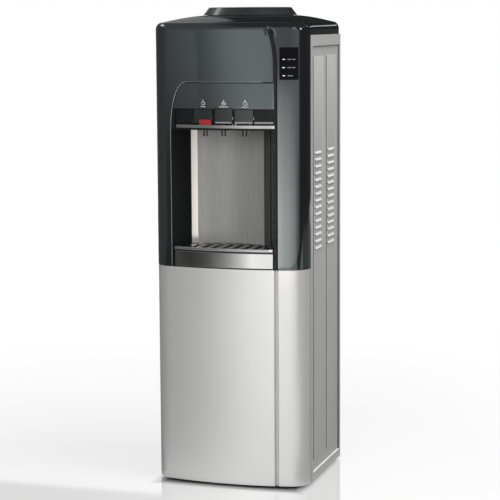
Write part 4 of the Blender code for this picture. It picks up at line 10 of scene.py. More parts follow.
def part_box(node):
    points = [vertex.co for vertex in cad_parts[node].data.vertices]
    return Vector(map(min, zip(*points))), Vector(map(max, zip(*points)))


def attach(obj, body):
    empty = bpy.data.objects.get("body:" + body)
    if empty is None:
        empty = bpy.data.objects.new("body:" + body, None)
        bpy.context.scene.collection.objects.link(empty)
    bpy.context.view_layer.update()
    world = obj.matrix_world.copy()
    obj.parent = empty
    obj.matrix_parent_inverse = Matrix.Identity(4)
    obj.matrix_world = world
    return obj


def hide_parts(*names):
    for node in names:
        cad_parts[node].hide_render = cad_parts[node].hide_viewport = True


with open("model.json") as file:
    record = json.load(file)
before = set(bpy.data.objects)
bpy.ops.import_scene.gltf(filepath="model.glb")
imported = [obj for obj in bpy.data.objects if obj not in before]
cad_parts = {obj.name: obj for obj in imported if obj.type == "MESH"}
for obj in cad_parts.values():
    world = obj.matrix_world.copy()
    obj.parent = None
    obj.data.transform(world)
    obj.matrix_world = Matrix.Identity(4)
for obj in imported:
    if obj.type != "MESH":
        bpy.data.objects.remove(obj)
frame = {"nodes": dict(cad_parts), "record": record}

bl_info = {
    "name": "Water Cooler Dressing",
    "version": (1, 0, 0),
    "blender": (4, 5, 0),
    "location": "View3D > Sidebar > Cooler",
    "description": "Finishes, small fittings and a studio for a floor standing water cooler",
    "category": "Object",
}

MM = 0.001
BODIES = {node: body for body, nodes in frame["record"]["behaviour"]["bodies"].items()
          for node in nodes}

# The front's plan: one wide arc between two corner arcs, which the solids follow in flat steps
FRONT_RADIUS = 0.59623
FRONT_CENTRE = (0.0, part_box("front_fascia")[0][1] + FRONT_RADIUS)
FRONT_STEP = math.radians(1.35)
CORNER_CENTRE = (0.115, -0.10798)
CORNER_RADIUS = 0.040
CORNER_TURN = 0.2083
CORNER_STEP = math.radians(7.0)

# The hollow metal back of the bay, with a painted highlight on its left fold and painted shade on
# the right one
SPLASH_CENTRE = (-0.0097, -0.20153)
SPLASH_RADIUS = 0.1308
SPLASH_STEP = math.radians(3.4)
SPLASH_FOLD_X = -0.0800
SPLASH_SHADE_X = 0.0555

# The crescent groove: where its bend starts, how far that rises and leans, its section and its end
GROOVE_FOOT = 0.8
GROOVE_RISE = 0.097
GROOVE_X = 0.0982
GROOVE_LEAN = 0.016
GROOVE_HALF = 0.004
GROOVE_DEPTH = 0.003
GROOVE_SECTION = ((0.0, 0.0), (0.12, 0.3), (0.22, 0.85), (0.35, 1.0), (0.5, 1.0), (0.65, 1.0),
                  (0.78, 0.85), (0.88, 0.3))
GROOVE_END = (0.8845, 0.8970)
# Where the groove's walls and bed get painted shade
GROOVE_SHADE_X = (0.078, 0.106)
GROOVE_SHADE_TOP = 0.8885
GROOVE_SHADE_DEPTH = (0.0002, 0.0036)

# The top cover: its rear corners, its wall, its rounded shoulder and the hole under the collar
COVER_CORNER = 0.014
COVER_WALL = 0.0024
COVER_RIM = (0.0, 0.0035, 0.007)
SHOULDER_FOOT = 0.010
SHOULDER_WIDTH = 0.012
SHOULDER_HEIGHT = 0.015
BOTTLE_HOLE = 0.086

# Heights in the bay: the end of the gloss header, the keys' lips and the signs
HEADER_FOOT = 0.7384
LIP_HEIGHTS = (0.7110, 0.7140)
SIGN_HEIGHT = 0.7505

# Dark sheets beside the keys, painted shade in the gaps between them: their left and right ends,
# thickness, height and middle
KEY_SHADE_SHEETS = ((0.014, 0.031), (0.0525, 0.062))
SHADE_SHEET_THICKNESS = 0.002
SHADE_SHEET_HEIGHT = 0.045
SHADE_SHEET_MIDDLE = (-0.132, 0.722)

# The grille: its front lip and back rim as insets from the tray's front and from the metal back,
# how far its bars lie below the lip, their thickness and reach, its side rails and its slots
GRILLE_LIP = (0.0012, 0.0052)
GRILLE_BACK = (0.006, 0.0005)
GRILLE_REACH = 0.002
GRILLE_DROP = 0.0008
GRILLE_THICKNESS = 0.0026
GRILLE_RAIL = 0.006
GRILLE_HALF_BAR = 0.0052
GRILLE_SLOTS = 9
GRILLE_BACK_ENDS = (0.019, 0.011)
GRILLE_CORNERS = (0.012, 0.008)
GRILLE_CORNER_Y = -0.102

# The groove of the door where it is painted darker, as painted shade
PULL_X = (0.0942, 0.1022)
PULL_DEPTH = 0.0012

# The rear screws
SCREW_X = 0.1455
SCREW_HEIGHTS = (0.185, 0.35, 0.52, 0.69, 0.865)


class CoolerSizes(bpy.types.PropertyGroup):
    """Sizes of the small fittings"""
    sign_height: bpy.props.FloatProperty(
        name="Sign height", description="Height of a sign over a key",
        default=0.0095, unit="LENGTH")
    sign_stroke: bpy.props.FloatProperty(
        name="Sign stroke", description="Width of a printed line in a sign",
        default=0.0009, unit="LENGTH")
    print_depth: bpy.props.FloatProperty(
        name="Print depth", description="Thickness of printed marks",
        default=0.00015, unit="LENGTH")
    screw_head: bpy.props.FloatProperty(
        name="Screw head", description="Diameter of a pan head screw",
        default=0.0072, unit="LENGTH")


class CoolerColours(bpy.types.PropertyGroup):
    """Colours of the finishes"""
    graphite: bpy.props.FloatVectorProperty(
        name="Graphite", description="Gloss plastic of the upper front",
        default=(0.104, 0.122, 0.125), size=3, subtype="COLOR")
    silver: bpy.props.FloatVectorProperty(
        name="Silver", description="Painted door skin",
        default=(0.56, 0.56, 0.55), size=3, subtype="COLOR")
    panel_grey: bpy.props.FloatVectorProperty(
        name="Panel grey", description="Painted steel side panels",
        default=(0.40, 0.40, 0.385), size=3, subtype="COLOR")
    steel: bpy.props.FloatVectorProperty(
        name="Steel", description="Brushed stainless steel",
        default=(0.56, 0.56, 0.54), size=3, subtype="COLOR")
    lock_red: bpy.props.FloatVectorProperty(
        name="Lock red", description="Child lock slider",
        default=(0.42, 0.008, 0.012), size=3, subtype="COLOR")


class CoolerStage(bpy.types.PropertyGroup):
    """Studio around the cooler"""
    key_power: bpy.props.FloatProperty(
        name="Front lamp", description="Power of the large front lamp in watts",
        default=55.0)
    side_power: bpy.props.FloatProperty(
        name="Side lamp", description="Power of the right hand lamp in watts",
        default=105.0)
    fill: bpy.props.FloatProperty(
        name="Fill", description="Strength of the even studio light",
        default=0.55)


def set_inputs(tree, node, inputs):
    """Sets the inputs of a node, or links them where the value is an output of another node."""
    for name, value in inputs.items():
        if isinstance(value, bpy.types.NodeSocket):
            tree.links.new(value, node.inputs[name])
        else:
            node.inputs[name].default_value = value


def add_node(tree, kind, inputs=None, output=0, **settings):
    """Adds a shader node with its inputs set and gives one of its outputs, or all for None."""
    node = tree.nodes.new("ShaderNode" + kind)
    for name, value in settings.items():
        setattr(node, name, value)
    set_inputs(tree, node, inputs or {})
    return node.outputs if output is None else node.outputs[output]


def compute(tree, operation, *values):
    """The value of a math node."""
    return add_node(tree, "Math", dict(enumerate(values)), operation=operation)


def map_range(tree, value, start, end, low=0.0, high=1.0, **settings):
    """Carries a value from one range into another."""
    inputs = {"Value": value, "From Min": start, "From Max": end, "To Min": low, "To Max": high}
    return add_node(tree, "MapRange", inputs, **settings)


def finish(name, low, high, grain=220.0, stretch=(1.0, 1.0, 1.0), rough=(0.35, 0.45),
           metal=0.0, bump=0.00004, coat=0.0, coat_rough=0.05, fine=1400.0, specular=0.5,
           cloud=14.0):
    """One procedural finish: a cloudy tint, a grain that drives gloss, and a fine relief."""
    made = bpy.data.materials.new(name)
    made.use_nodes = True
    tree = made.node_tree
    place = add_node(tree, "TexCoord", output="Object")
    place = add_node(tree, "Mapping", {"Vector": place, "Scale": stretch})
    clouds, grains, relief = [
        add_node(tree, "TexNoise", {"Vector": place, "Scale": scale, "Detail": detail})
        for scale, detail in ((cloud, 3.0), (grain, 3.0), (fine, 2.0))]
    share = map_range(tree, compute(tree, "ADD", clouds, grains), 0.7, 1.3)
    tint = add_node(tree, "Mix", {"Factor": share, 6: (*low, 1.0), 7: (*high, 1.0)}, 2,
                    data_type="RGBA")
    gloss = map_range(tree, grains, 0.3, 0.7, *rough)
    normal = add_node(tree, "Bump", {"Height": relief, "Strength": 0.5, "Distance": bump})
    set_inputs(tree, tree.nodes["Principled BSDF"], {
        "Base Color": tint, "Roughness": gloss, "Normal": normal, "Metallic": metal,
        "Specular IOR Level": specular, "Coat Weight": coat, "Coat Roughness": coat_rough})
    return made


def tones(colour, *factors):
    """A colour times each of some factors."""
    return [tuple(channel * factor for channel in colour) for factor in factors]


def dress(material, *nodes):
    """Puts a finish in every slot of some nodes of the frame."""
    for node in nodes:
        for place in frame["nodes"][node].material_slots:
            place.material = material


def add_object(name, data):
    """A new object in the scene."""
    made = bpy.data.objects.new(name, data)
    bpy.context.scene.collection.objects.link(made)
    return made


def add_mesh(name, shape):
    """An object at the origin with the mesh of a bmesh, which is freed."""
    mesh = bpy.data.meshes.new(name)
    shape.to_mesh(mesh)
    shape.free()
    return add_object(name, mesh)


def place_piece(name, shape, material, body, smooth=30.0, turn_out=True):
    """Turns a bmesh into a piece of the scene that rides on a body."""
    if turn_out:
        bmesh.ops.recalc_face_normals(shape, faces=shape.faces[:])
    piece = add_mesh(name, shape)
    mesh = piece.data
    mesh.materials.append(material)
    mesh.shade_smooth()
    mesh.set_sharp_from_angle(angle=math.radians(smooth))
    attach(piece, body)
    return piece


def round_normal(point, flat, centre, reach):
    """A facet's normal at one corner, as if its wall were truly round about an upright axis."""
    across = Vector((point.x - centre[0], point.y - centre[1]))
    level = Vector((flat.x, flat.y))
    if across.length < 1e-6 or level.length < 0.05:
        return None
    across.normalize()
    if across.dot(level) < 0:
        across.negate()
    if across.angle(level) > reach:
        return None
    across *= level.length
    return Vector((across.x, across.y, flat.z))


def front_round(middle):
    """The axis and half step of the arc of the curved front that passes a point."""
    turn = math.atan2(middle.x, FRONT_CENTRE[1] - middle.y)
    if abs(turn) <= CORNER_TURN:
        return FRONT_CENTRE, FRONT_STEP
    return (math.copysign(CORNER_CENTRE[0], middle.x), CORNER_CENTRE[1]), CORNER_STEP


def splash_round(middle):
    """The axis and half step of the hollow metal back."""
    return SPLASH_CENTRE, SPLASH_STEP


def box_axis(node):
    """The place of the upright line through the middle of a node's box."""
    low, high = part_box(node)
    return (low[0] + high[0]) / 2, (low[1] + high[1]) / 2


def axis_round(node, half_step):
    """A rule for a turned node: its axis stands in the middle of its box."""
    centre = box_axis(node)
    return lambda middle: (centre, math.radians(half_step))


def true_normals(mesh, rule):
    """Gives the walls that a rule calls round their true normals, so no column shows as a facet."""
    corners = [corner.vector.copy() for corner in mesh.corner_normals]
    for face in mesh.polygons:
        centre, reach = rule(face.center)
        loops = face.loop_indices
        points = [mesh.vertices[mesh.loops[loop].vertex_index].co for loop in loops]
        fresh = [round_normal(point, face.normal, centre, reach) for point in points]
        if None in fresh and any(fresh):
            fresh = [round_normal(point, face.normal, centre, reach * 3.0) for point in points]
        if None in fresh:
            continue
        for loop, normal in zip(loops, fresh):
            corners[loop] = normal
    mesh.normals_split_custom_set(corners)


def merged_copy(node):
    """A copy of a node as one closed shape with its flat areas whole."""
    shape = bmesh.new()
    shape.from_mesh(frame["nodes"][node].data)
    bmesh.ops.remove_doubles(shape, verts=shape.verts[:], dist=0.000005)
    bmesh.ops.dissolve_limit(shape, angle_limit=math.radians(0.15), verts=shape.verts[:],
                             edges=shape.edges[:], delimit={"NORMAL"})
    return shape


def sharp_edges(shape, angle):
    return [edge for edge in shape.edges
            if len(edge.link_faces) == 2 and edge.calc_face_angle(0.0) > math.radians(angle)]


def soften_edges(shape, edges, width, material=-1):
    """Rounds some edges a little."""
    bmesh.ops.bevel(shape, geom=edges, offset=width, offset_type="OFFSET", segments=2, profile=0.5,
                    affect="EDGES", clamp_overlap=True, material=material)


def smooth_copy(node, material, soften=0.0, rule=None, sharp=30.0, cuts=()):
    """A smooth and soft edged copy of a node that stands for it, cut at some values of an axis."""
    shape = merged_copy(node)
    for place, axis in cuts:
        bmesh.ops.bisect_plane(shape, geom=shape.verts[:] + shape.edges[:] + shape.faces[:],
                               dist=1e-6, plane_co=place * Vector(axis), plane_no=axis)
    if soften:
        soften_edges(shape, sharp_edges(shape, 40.0), soften)
    piece = place_piece(node + "_finish", shape, material, BODIES[node], smooth=sharp,
                        turn_out=False)
    if rule is not None:
        true_normals(piece.data, rule)
    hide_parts(node)
    return piece


def smooth_copies(material, soften, *nodes, rule=None):
    """Smooth copies of several nodes in one finish."""
    for node in nodes:
        smooth_copy(node, material, soften, rule)


def front_point(turn, inset):
    """A point of the front's plan line, drawn in by an inset, whose normal has turned from -Y."""
    if abs(turn) <= CORNER_TURN:
        radius = FRONT_RADIUS - inset
        return radius * math.sin(turn), FRONT_CENTRE[1] - radius * math.cos(turn)
    radius = CORNER_RADIUS - inset
    across = CORNER_CENTRE[0] + radius * math.sin(abs(turn))
    return math.copysign(across, turn), CORNER_CENTRE[1] - radius * math.cos(turn)


def front_depth(x, inset):
    """The Y of the front's plan line at one X, drawn in by an inset."""
    radius = FRONT_RADIUS - inset
    return FRONT_CENTRE[1] - math.sqrt(radius * radius - x * x)


def even(start, end, steps):
    """Evenly spaced values from a start on, without the end."""
    return [start + (end - start) * step / steps for step in range(steps)]


def cover_ring(inset, height, groove):
    """The cover's plan line as a closed ring, with the end of the crescent groove pressed in."""
    share = min(max((height - GROOVE_FOOT) / GROOVE_RISE, 0.0), 1.0)
    centre = GROOVE_X - GROOVE_LEAN * share ** 3
    low, high = (math.asin((centre + side) / (FRONT_RADIUS - inset))
                 for side in (-GROOVE_HALF, GROOVE_HALF))
    quarter = math.pi / 2
    turns = even(-quarter, -CORNER_TURN, 10) + even(-CORNER_TURN, low, 24)
    ring = [front_point(turn, inset) for turn in turns]
    for place, press in GROOVE_SECTION:
        x, y = front_point(low + (high - low) * place, inset)
        ring.append((x, y + groove * press))
    turns = even(high, CORNER_TURN, 4) + even(CORNER_TURN, quarter, 10) + [quarter]
    ring += [front_point(turn, inset) for turn in turns]
    low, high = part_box("top_cover")
    radius = COVER_CORNER - inset
    across, back = high[0] - inset - radius, high[1] - inset - radius
    half = [(high[0] - inset, y) for y in even(CORNER_CENTRE[1], back, 10)[1:]]
    half += [(across + radius * math.cos(turn), back + radius * math.sin(turn))
             for turn in even(0.0, quarter, 6)]
    half += [(x, high[1] - inset) for x in even(across, 0.0, 8)]
    ring += half + [(0.0, high[1] - inset)] + [(-x, y) for x, y in reversed(half)]
    return [(x, y, height) for x, y in ring] + [(*ring[0], height)]


def cover_rings():
    """Rings of the cover from its lower rim over the shoulder and the dome to the bottle hole."""
    low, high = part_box("top_cover")
    shoulder = low[2] + SHOULDER_FOOT
    rows = [(0.0, low[2] + rise) for rise in COVER_RIM]
    for step in range(13):
        turn = math.pi / 2 * step / 12
        rows.append((SHOULDER_WIDTH * (1.0 - math.cos(turn)),
                     shoulder + SHOULDER_HEIGHT * math.sin(turn)))
    rings = []
    for inset, height in rows:
        fade = min(max((height - GROOVE_END[0]) / (GROOVE_END[1] - GROOVE_END[0]), 0.0), 1.0)
        groove = GROOVE_DEPTH * (1.0 - fade * fade * (3.0 - 2.0 * fade))
        rings.append(cover_ring(inset, height, groove))
    edge = rings[-1]
    axis = box_axis("bottle_collar")
    for step in range(1, 11):
        share = step / 10
        ring = []
        for x, y, z in edge:
            angle = math.atan2(y - axis[1], x - axis[0])
            hole = (axis[0] + BOTTLE_HOLE * math.cos(angle),
                    axis[1] + BOTTLE_HOLE * math.sin(angle))
            rise = (high[2] - z) * math.sin(share * math.pi / 2)
            ring.append((x + (hole[0] - x) * share, y + (hole[1] - y) * share, z + rise))
        rings.append(ring)
    return rings


def grid_for(rows):
    """A new grid with a vertex for each place in some rows, and the pairs of vertex and place."""
    shape = bmesh.new()
    bmesh.ops.create_grid(shape, x_segments=len(rows[0]) - 1, y_segments=len(rows) - 1, size=1.0)
    shape.verts.ensure_lookup_table()
    return shape, zip(shape.verts, [place for row in rows for place in row])


def swept_grid(rings):
    """A grid whose rows are laid on rings of points, closed along its seam."""
    shape, pairs = grid_for(rings)
    for vert, point in pairs:
        vert.co = point
    bmesh.ops.remove_doubles(shape, verts=shape.verts[:], dist=0.000001)
    bmesh.ops.recalc_face_normals(shape, faces=shape.faces[:])
    return shape


def add_wall(shape, thickness):
    """Gives an open sheet its thickness inwards."""
    sheet = shape.faces[:]
    rims = [edge for edge in shape.edges if len(edge.link_faces) == 1]
    normals = {vert: vert.normal.copy() for vert in shape.verts}
    inner = bmesh.ops.duplicate(shape, geom=shape.verts[:] + shape.edges[:] + sheet)
    twins = inner["vert_map"]
    for vert, normal in normals.items():
        twins[vert].co = vert.co - normal * thickness
    faces = [item for item in inner["geom"] if isinstance(item, bmesh.types.BMFace)]
    bmesh.ops.reverse_faces(shape, faces=faces)
    for edge in rims:
        first, second = edge.verts
        shape.faces.new((first, second, twins[second], twins[first]))
    bmesh.ops.recalc_face_normals(shape, faces=shape.faces[:])


def bar(shape, start, end, width, depth):
    """A thin flat bar in the XZ plane from one point to another."""
    start, end = Vector(start), Vector(end)
    along = end - start
    length = along.length + width * 0.5
    turn = math.atan2(along.y, along.x)
    middle = (start + end) / 2
    matrix = (
        Matrix.Translation((middle.x, 0.0, middle.y))
        @ Matrix.Rotation(-turn, 4, "Y")
        @ Matrix.Diagonal((length, depth, width, 1.0))
    )
    bmesh.ops.create_cube(shape, size=1.0, matrix=matrix)


def path(shape, points, width, depth):
    """Thin bars from point to point."""
    for first, second in zip(points, points[1:]):
        bar(shape, first, second, width, depth)


def front_of(node):
    """A function that gives the point and the normal of a node's front at one X and Z."""
    shape = merged_copy(node)
    tree = BVHTree.FromBMesh(shape)
    shape.free()
    return lambda x, z: tree.ray_cast(Vector((x, -1.0, z)), Vector((0.0, 1.0, 0.0)))[:2]


def surface_frame(node, x, z):
    """The front surface of a node at one X and Z: its point, and a frame that lies on it."""
    point, normal = front_of(node)(x, z)
    if point is None:
        raise RuntimeError("nothing to print on at " + node)
    across = Vector((-normal.y, normal.x, 0.0)).normalized()
    up = across.cross(-normal)
    turn = Matrix((across, -normal, up)).transposed().to_4x4()
    return Matrix.Translation(point) @ turn


def lay_on(shape, node, x, z, depth):
    """Moves a flat print from the origin onto the front surface of a node."""
    matrix = surface_frame(node, x, z) @ Matrix.Translation((0.0, -depth * 0.3, 0.0))
    bmesh.ops.transform(shape, matrix=matrix, verts=shape.verts[:])


def pull_out(shape, faces, shift):
    """Extrudes some faces by a shift."""
    out = bmesh.ops.extrude_face_region(shape, geom=faces)
    fresh = [item for item in out["geom"] if isinstance(item, bmesh.types.BMVert)]
    bmesh.ops.translate(shape, vec=shift, verts=fresh)


def draped(name, node, rows, proud, material):
    """A thin raised strip between rows of places (x, z) that lies on the front of a node."""
    front = front_of(node)
    shape, pairs = grid_for(rows)
    depth = -0.15
    for vert, (x, z) in pairs:
        point = front(x, z)[0]
        depth = point.y if point is not None else depth
        vert.co = (x, depth, z)
    pull_out(shape, shape.faces[:], (0.0, -proud, 0.0))
    return place_piece(name, shape, material, BODIES[node])


def rim_shadow(places, material):
    """A narrow dark strip on the bay frame along the fascia's opening: painted shadow of the gap
    between them.
    """
    rows = []
    for inset in (0.0004, 0.0020):
        row = []
        for index, (x, z) in enumerate(places):
            before, after = places[max(index - 1, 0)], places[min(index + 1, len(places) - 1)]
            along = Vector((after[0] - before[0], after[1] - before[1])).normalized()
            row.append((x + along.y * inset, z - along.x * inset))
        rows.append(row)
    draped("bay_rim_shadow_strip", "bay_frame", rows, 0.0003, material)


def arc_points(radius, start, end, steps, centre=(0.0, 0.0)):
    points = []
    for step in range(steps + 1):
        angle = math.radians(start + (end - start) * step / steps)
        points.append((centre[0] + radius * math.cos(angle), centre[1] + radius * math.sin(angle)))
    return points


def cup_sign(shape, size, stroke, depth):
    """A plain cup, the lower half of each sign."""
    half = size * 0.36
    base = -size * 0.5
    rim = size * 0.02
    foot = half * 0.72
    path(shape, [(-half, rim), (-foot, base), (foot, base), (half, rim), (-half, rim)], stroke,
         depth)
    path(shape, arc_points(size * 0.17, 80, -80, 5, (half * 0.92, -size * 0.22)), stroke, depth)


def steam_lines(shape, size, stroke, depth):
    for offset in (-0.17, 0.17):
        points = []
        for step in range(7):
            share = step / 6
            sway = math.sin(share * math.tau) * size * 0.07
            points.append((offset * size + sway, size * (0.16 + 0.36 * share)))
        path(shape, points, stroke, depth)


def level_line(shape, size, stroke, depth):
    path(shape, [(-size * 0.25, -size * 0.2), (0.0, -size * 0.14), (size * 0.25, -size * 0.2)],
         stroke, depth)
    path(shape, [(0.0, size * 0.52), (-size * 0.11, size * 0.3), (0.0, size * 0.18),
                 (size * 0.11, size * 0.3), (0.0, size * 0.52)], stroke, depth)


def frost_star(shape, size, stroke, depth):
    for turn in (30, 90, 150):
        angle = math.radians(turn)
        reach = size * 0.19
        middle = (0.0, size * 0.34)
        tip = (middle[0] + reach * math.cos(angle), middle[1] + reach * math.sin(angle))
        tail = (middle[0] - reach * math.cos(angle), middle[1] - reach * math.sin(angle))
        bar(shape, tail, tip, stroke, depth)


def screws(name, places, material, body):
    """Pan head screws at several points, their heads facing back."""
    group = bmesh.new()
    size = bpy.context.scene.cooler_sizes.screw_head
    radius = size / 2
    profile = [(0.0, 0.0), (radius, 0.0), (radius, radius * 0.18), (radius * 0.86, radius * 0.42),
               (radius * 0.5, radius * 0.58), (radius * 0.3, radius * 0.6)]
    for index, point in enumerate(places):
        verts = [group.verts.new((x, 0.0, z)) for x, z in profile]
        edges = [group.edges.new(pair) for pair in zip(verts, verts[1:])]
        bmesh.ops.spin(group, geom=verts + edges, cent=(0.0, 0.0, 0.0), axis=(0.0, 0.0, 1.0),
                       angle=math.tau, steps=16, use_merge=True)
        bmesh.ops.remove_doubles(group, verts=group.verts[:], dist=1e-6)
        matrix = (Matrix.Translation(point) @ Matrix.Rotation(-math.pi / 2, 4, "X")
                  @ Matrix.Rotation(index * 0.7, 4, "Z"))
        fresh = [vert for vert in group.verts if not vert.tag]
        bmesh.ops.transform(group, matrix=matrix, verts=fresh)
        for vert in fresh:
            vert.tag = True
    holes = [edge for edge in group.edges if edge.is_boundary]
    filled = bmesh.ops.holes_fill(group, edges=holes)
    bmesh.ops.inset_region(group, faces=filled["faces"], thickness=size * 0.05, depth=-size * 0.1)
    return place_piece(name, group, material, body)


def bay_rim(shape):
    """The front edges of the bay's opening, from its left foot over the corner to the groove."""
    chosen = []
    for edge in shape.edges:
        if len(edge.link_faces) != 2:
            continue
        middle = (edge.verts[0].co + edge.verts[1].co) / 2
        if not (middle.x < 0.088 and 0.435 < middle.z < 0.80):
            continue
        front, wall = sorted(edge.link_faces, key=lambda face: face.normal.y)
        inward = wall.normal.x - wall.normal.z
        if front.normal.y < -0.8 and abs(wall.normal.y) < 0.3 and inward > 0.6:
            chosen.append(edge)
    return chosen


def second_material(piece, material, chosen):
    """Gives the faces whose middle and normal pass a test another material."""
    piece.data.materials.append(material)
    for face in piece.data.polygons:
        if chosen(face.center, face.normal):
            face.material_index = len(piece.data.materials) - 1


def in_groove(middle, normal):
    """True for the walls and the bed of the crescent groove."""
    left, right = GROOVE_SHADE_X
    near, far = GROOVE_SHADE_DEPTH
    depth = middle.y - front_depth(middle.x, 0.0)
    return left < middle.x < right and middle.z < GROOVE_SHADE_TOP and near < depth < far


def in_pull(middle, normal):
    """True for the bed of the door's grip groove."""
    return (PULL_X[0] < middle.x < PULL_X[1]
            and middle.y > front_depth(middle.x, 0.0) + PULL_DEPTH)


def louvre_lit(middle, normal):
    """True for the lips of a side panel's louvres, its lower hem and its front edge."""
    across = abs(middle.x)
    lip = across > 0.150 and normal.z > 0.2 and (0.3 < middle.z < 0.7 or middle.z < 0.1)
    return lip or (across > 0.1545 and middle.y < -0.086)


def panel_crease(middle, normal):
    """True for the upright walls of the lines that are pressed into a side panel."""
    return 0.1505 < abs(middle.x) < 0.1549 and abs(normal.y) > 0.3 and 0.03 < middle.z < 0.85


class COOLER_OT_front_shell(bpy.types.Operator):
    """Gloss graphite finish of the fascia, top cover and tap bay"""
    bl_idname = "cooler.front_shell"
    bl_label = "Front Shell"

    def execute(self, context):
        tint = context.scene.cooler_colours.graphite
        gloss = finish("graphite_gloss", *tones(tint, 0.92, 1.08), grain=900.0, rough=(0.05, 0.09),
                       metal=0.95, bump=0.000003, coat=0.3, coat_rough=0.03, cloud=4.0)
        # A lighter material for the rounded rim of the bay's opening, a painted highlight along it
        edge = finish("bay_rim_painted_highlight", *tones(tint, 2.5, 2.8), rough=(0.3, 0.36), metal=0.5,
                      bump=0.000003)
        shape = merged_copy("front_fascia")
        rim = {vert.co.to_tuple(5) for edge in bay_rim(shape) for vert in edge.verts}
        # The rounded rim of the bay's opening takes the painted highlight as its second material
        soften_edges(shape, bay_rim(shape), 0.0010, material=1)
        shell = place_piece("front_fascia_shell", shape, gloss, BODIES["front_fascia"],
                            turn_out=False)
        shell.data.materials.append(edge)
        true_normals(shell.data, front_round)
        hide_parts("front_fascia")
        # A much darker material for the groove's walls and bed: painted shade, the same plastic as
        # in shadow
        shade = finish("groove_painted_shade", *tones(tint, 0.10, 0.14), grain=900.0, rough=(0.25, 0.32),
                       bump=0.000002, specular=0.2)
        second_material(shell, shade, in_groove)
        cover = swept_grid(cover_rings())
        top = max(cover.faces, key=lambda face: face.calc_center_median().z)
        if top.normal.z < 0.0:
            bmesh.ops.reverse_faces(cover, faces=cover.faces[:])
        add_wall(cover, COVER_WALL)
        cover = place_piece("top_cover_shell", cover, gloss, BODIES["top_cover"],
                            smooth=50.0, turn_out=False)
        # The groove on the cover gets the same painted shade
        second_material(cover, shade, in_groove)
        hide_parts("top_cover")
        bay = finish("graphite_bay", *tones(tint, 0.85, 1.0), grain=900.0, rough=(0.08, 0.14),
                     metal=0.9, bump=0.000004, coat=0.3, cloud=4.0)
        frame_piece = smooth_copy("bay_frame", bay, 0.0, front_round,
                                  cuts=((HEADER_FOOT, (0.0, 0.0, 1.0)),))
        dark = finish("bay_satin", (0.006, 0.008, 0.008), (0.009, 0.011, 0.011), grain=900.0,
                      rough=(0.2, 0.28), bump=0.000004, specular=0.15)
        second_material(frame_piece, dark, lambda middle, normal: middle.z < HEADER_FOOT)
        # A dark strip along the bay's opening, painted shadow in the gap, in the bay's dark
        # material
        rim_shadow(sorted({(x, z) for x, _, z in rim}, key=lambda place: math.atan2(
            place[0] - 0.09, place[1] - 0.43)), dark)
        collar = finish("black_satin", (0.010, 0.012, 0.012), (0.016, 0.018, 0.018), grain=600.0,
                        rough=(0.22, 0.3), bump=0.00001, coat=0.3)
        smooth_copy("bottle_collar", collar, 0.0006, axis_round("bottle_collar", 6.5))
        smooth_copy("key_rod", collar)
        return {"FINISHED"}


class COOLER_OT_bottle_seat(bpy.types.Operator):
    """Dark moulded funnel and white water guard in the bottle seat"""
    bl_idname = "cooler.bottle_seat"
    bl_label = "Bottle Seat"

    def execute(self, context):
        satin = finish("funnel_satin", (0.022, 0.024, 0.025), (0.030, 0.032, 0.033), grain=500.0,
                       rough=(0.32, 0.4), bump=0.00001)
        white = finish("white_moulding", (0.52, 0.53, 0.52), (0.58, 0.58, 0.57), rough=(0.3, 0.38),
                       bump=0.00001, coat=0.2)
        smooth_copy("bottle_funnel", satin, 0.0005, axis_round("bottle_funnel", 6.5))
        smooth_copy("water_guard", white)
        return {"FINISHED"}


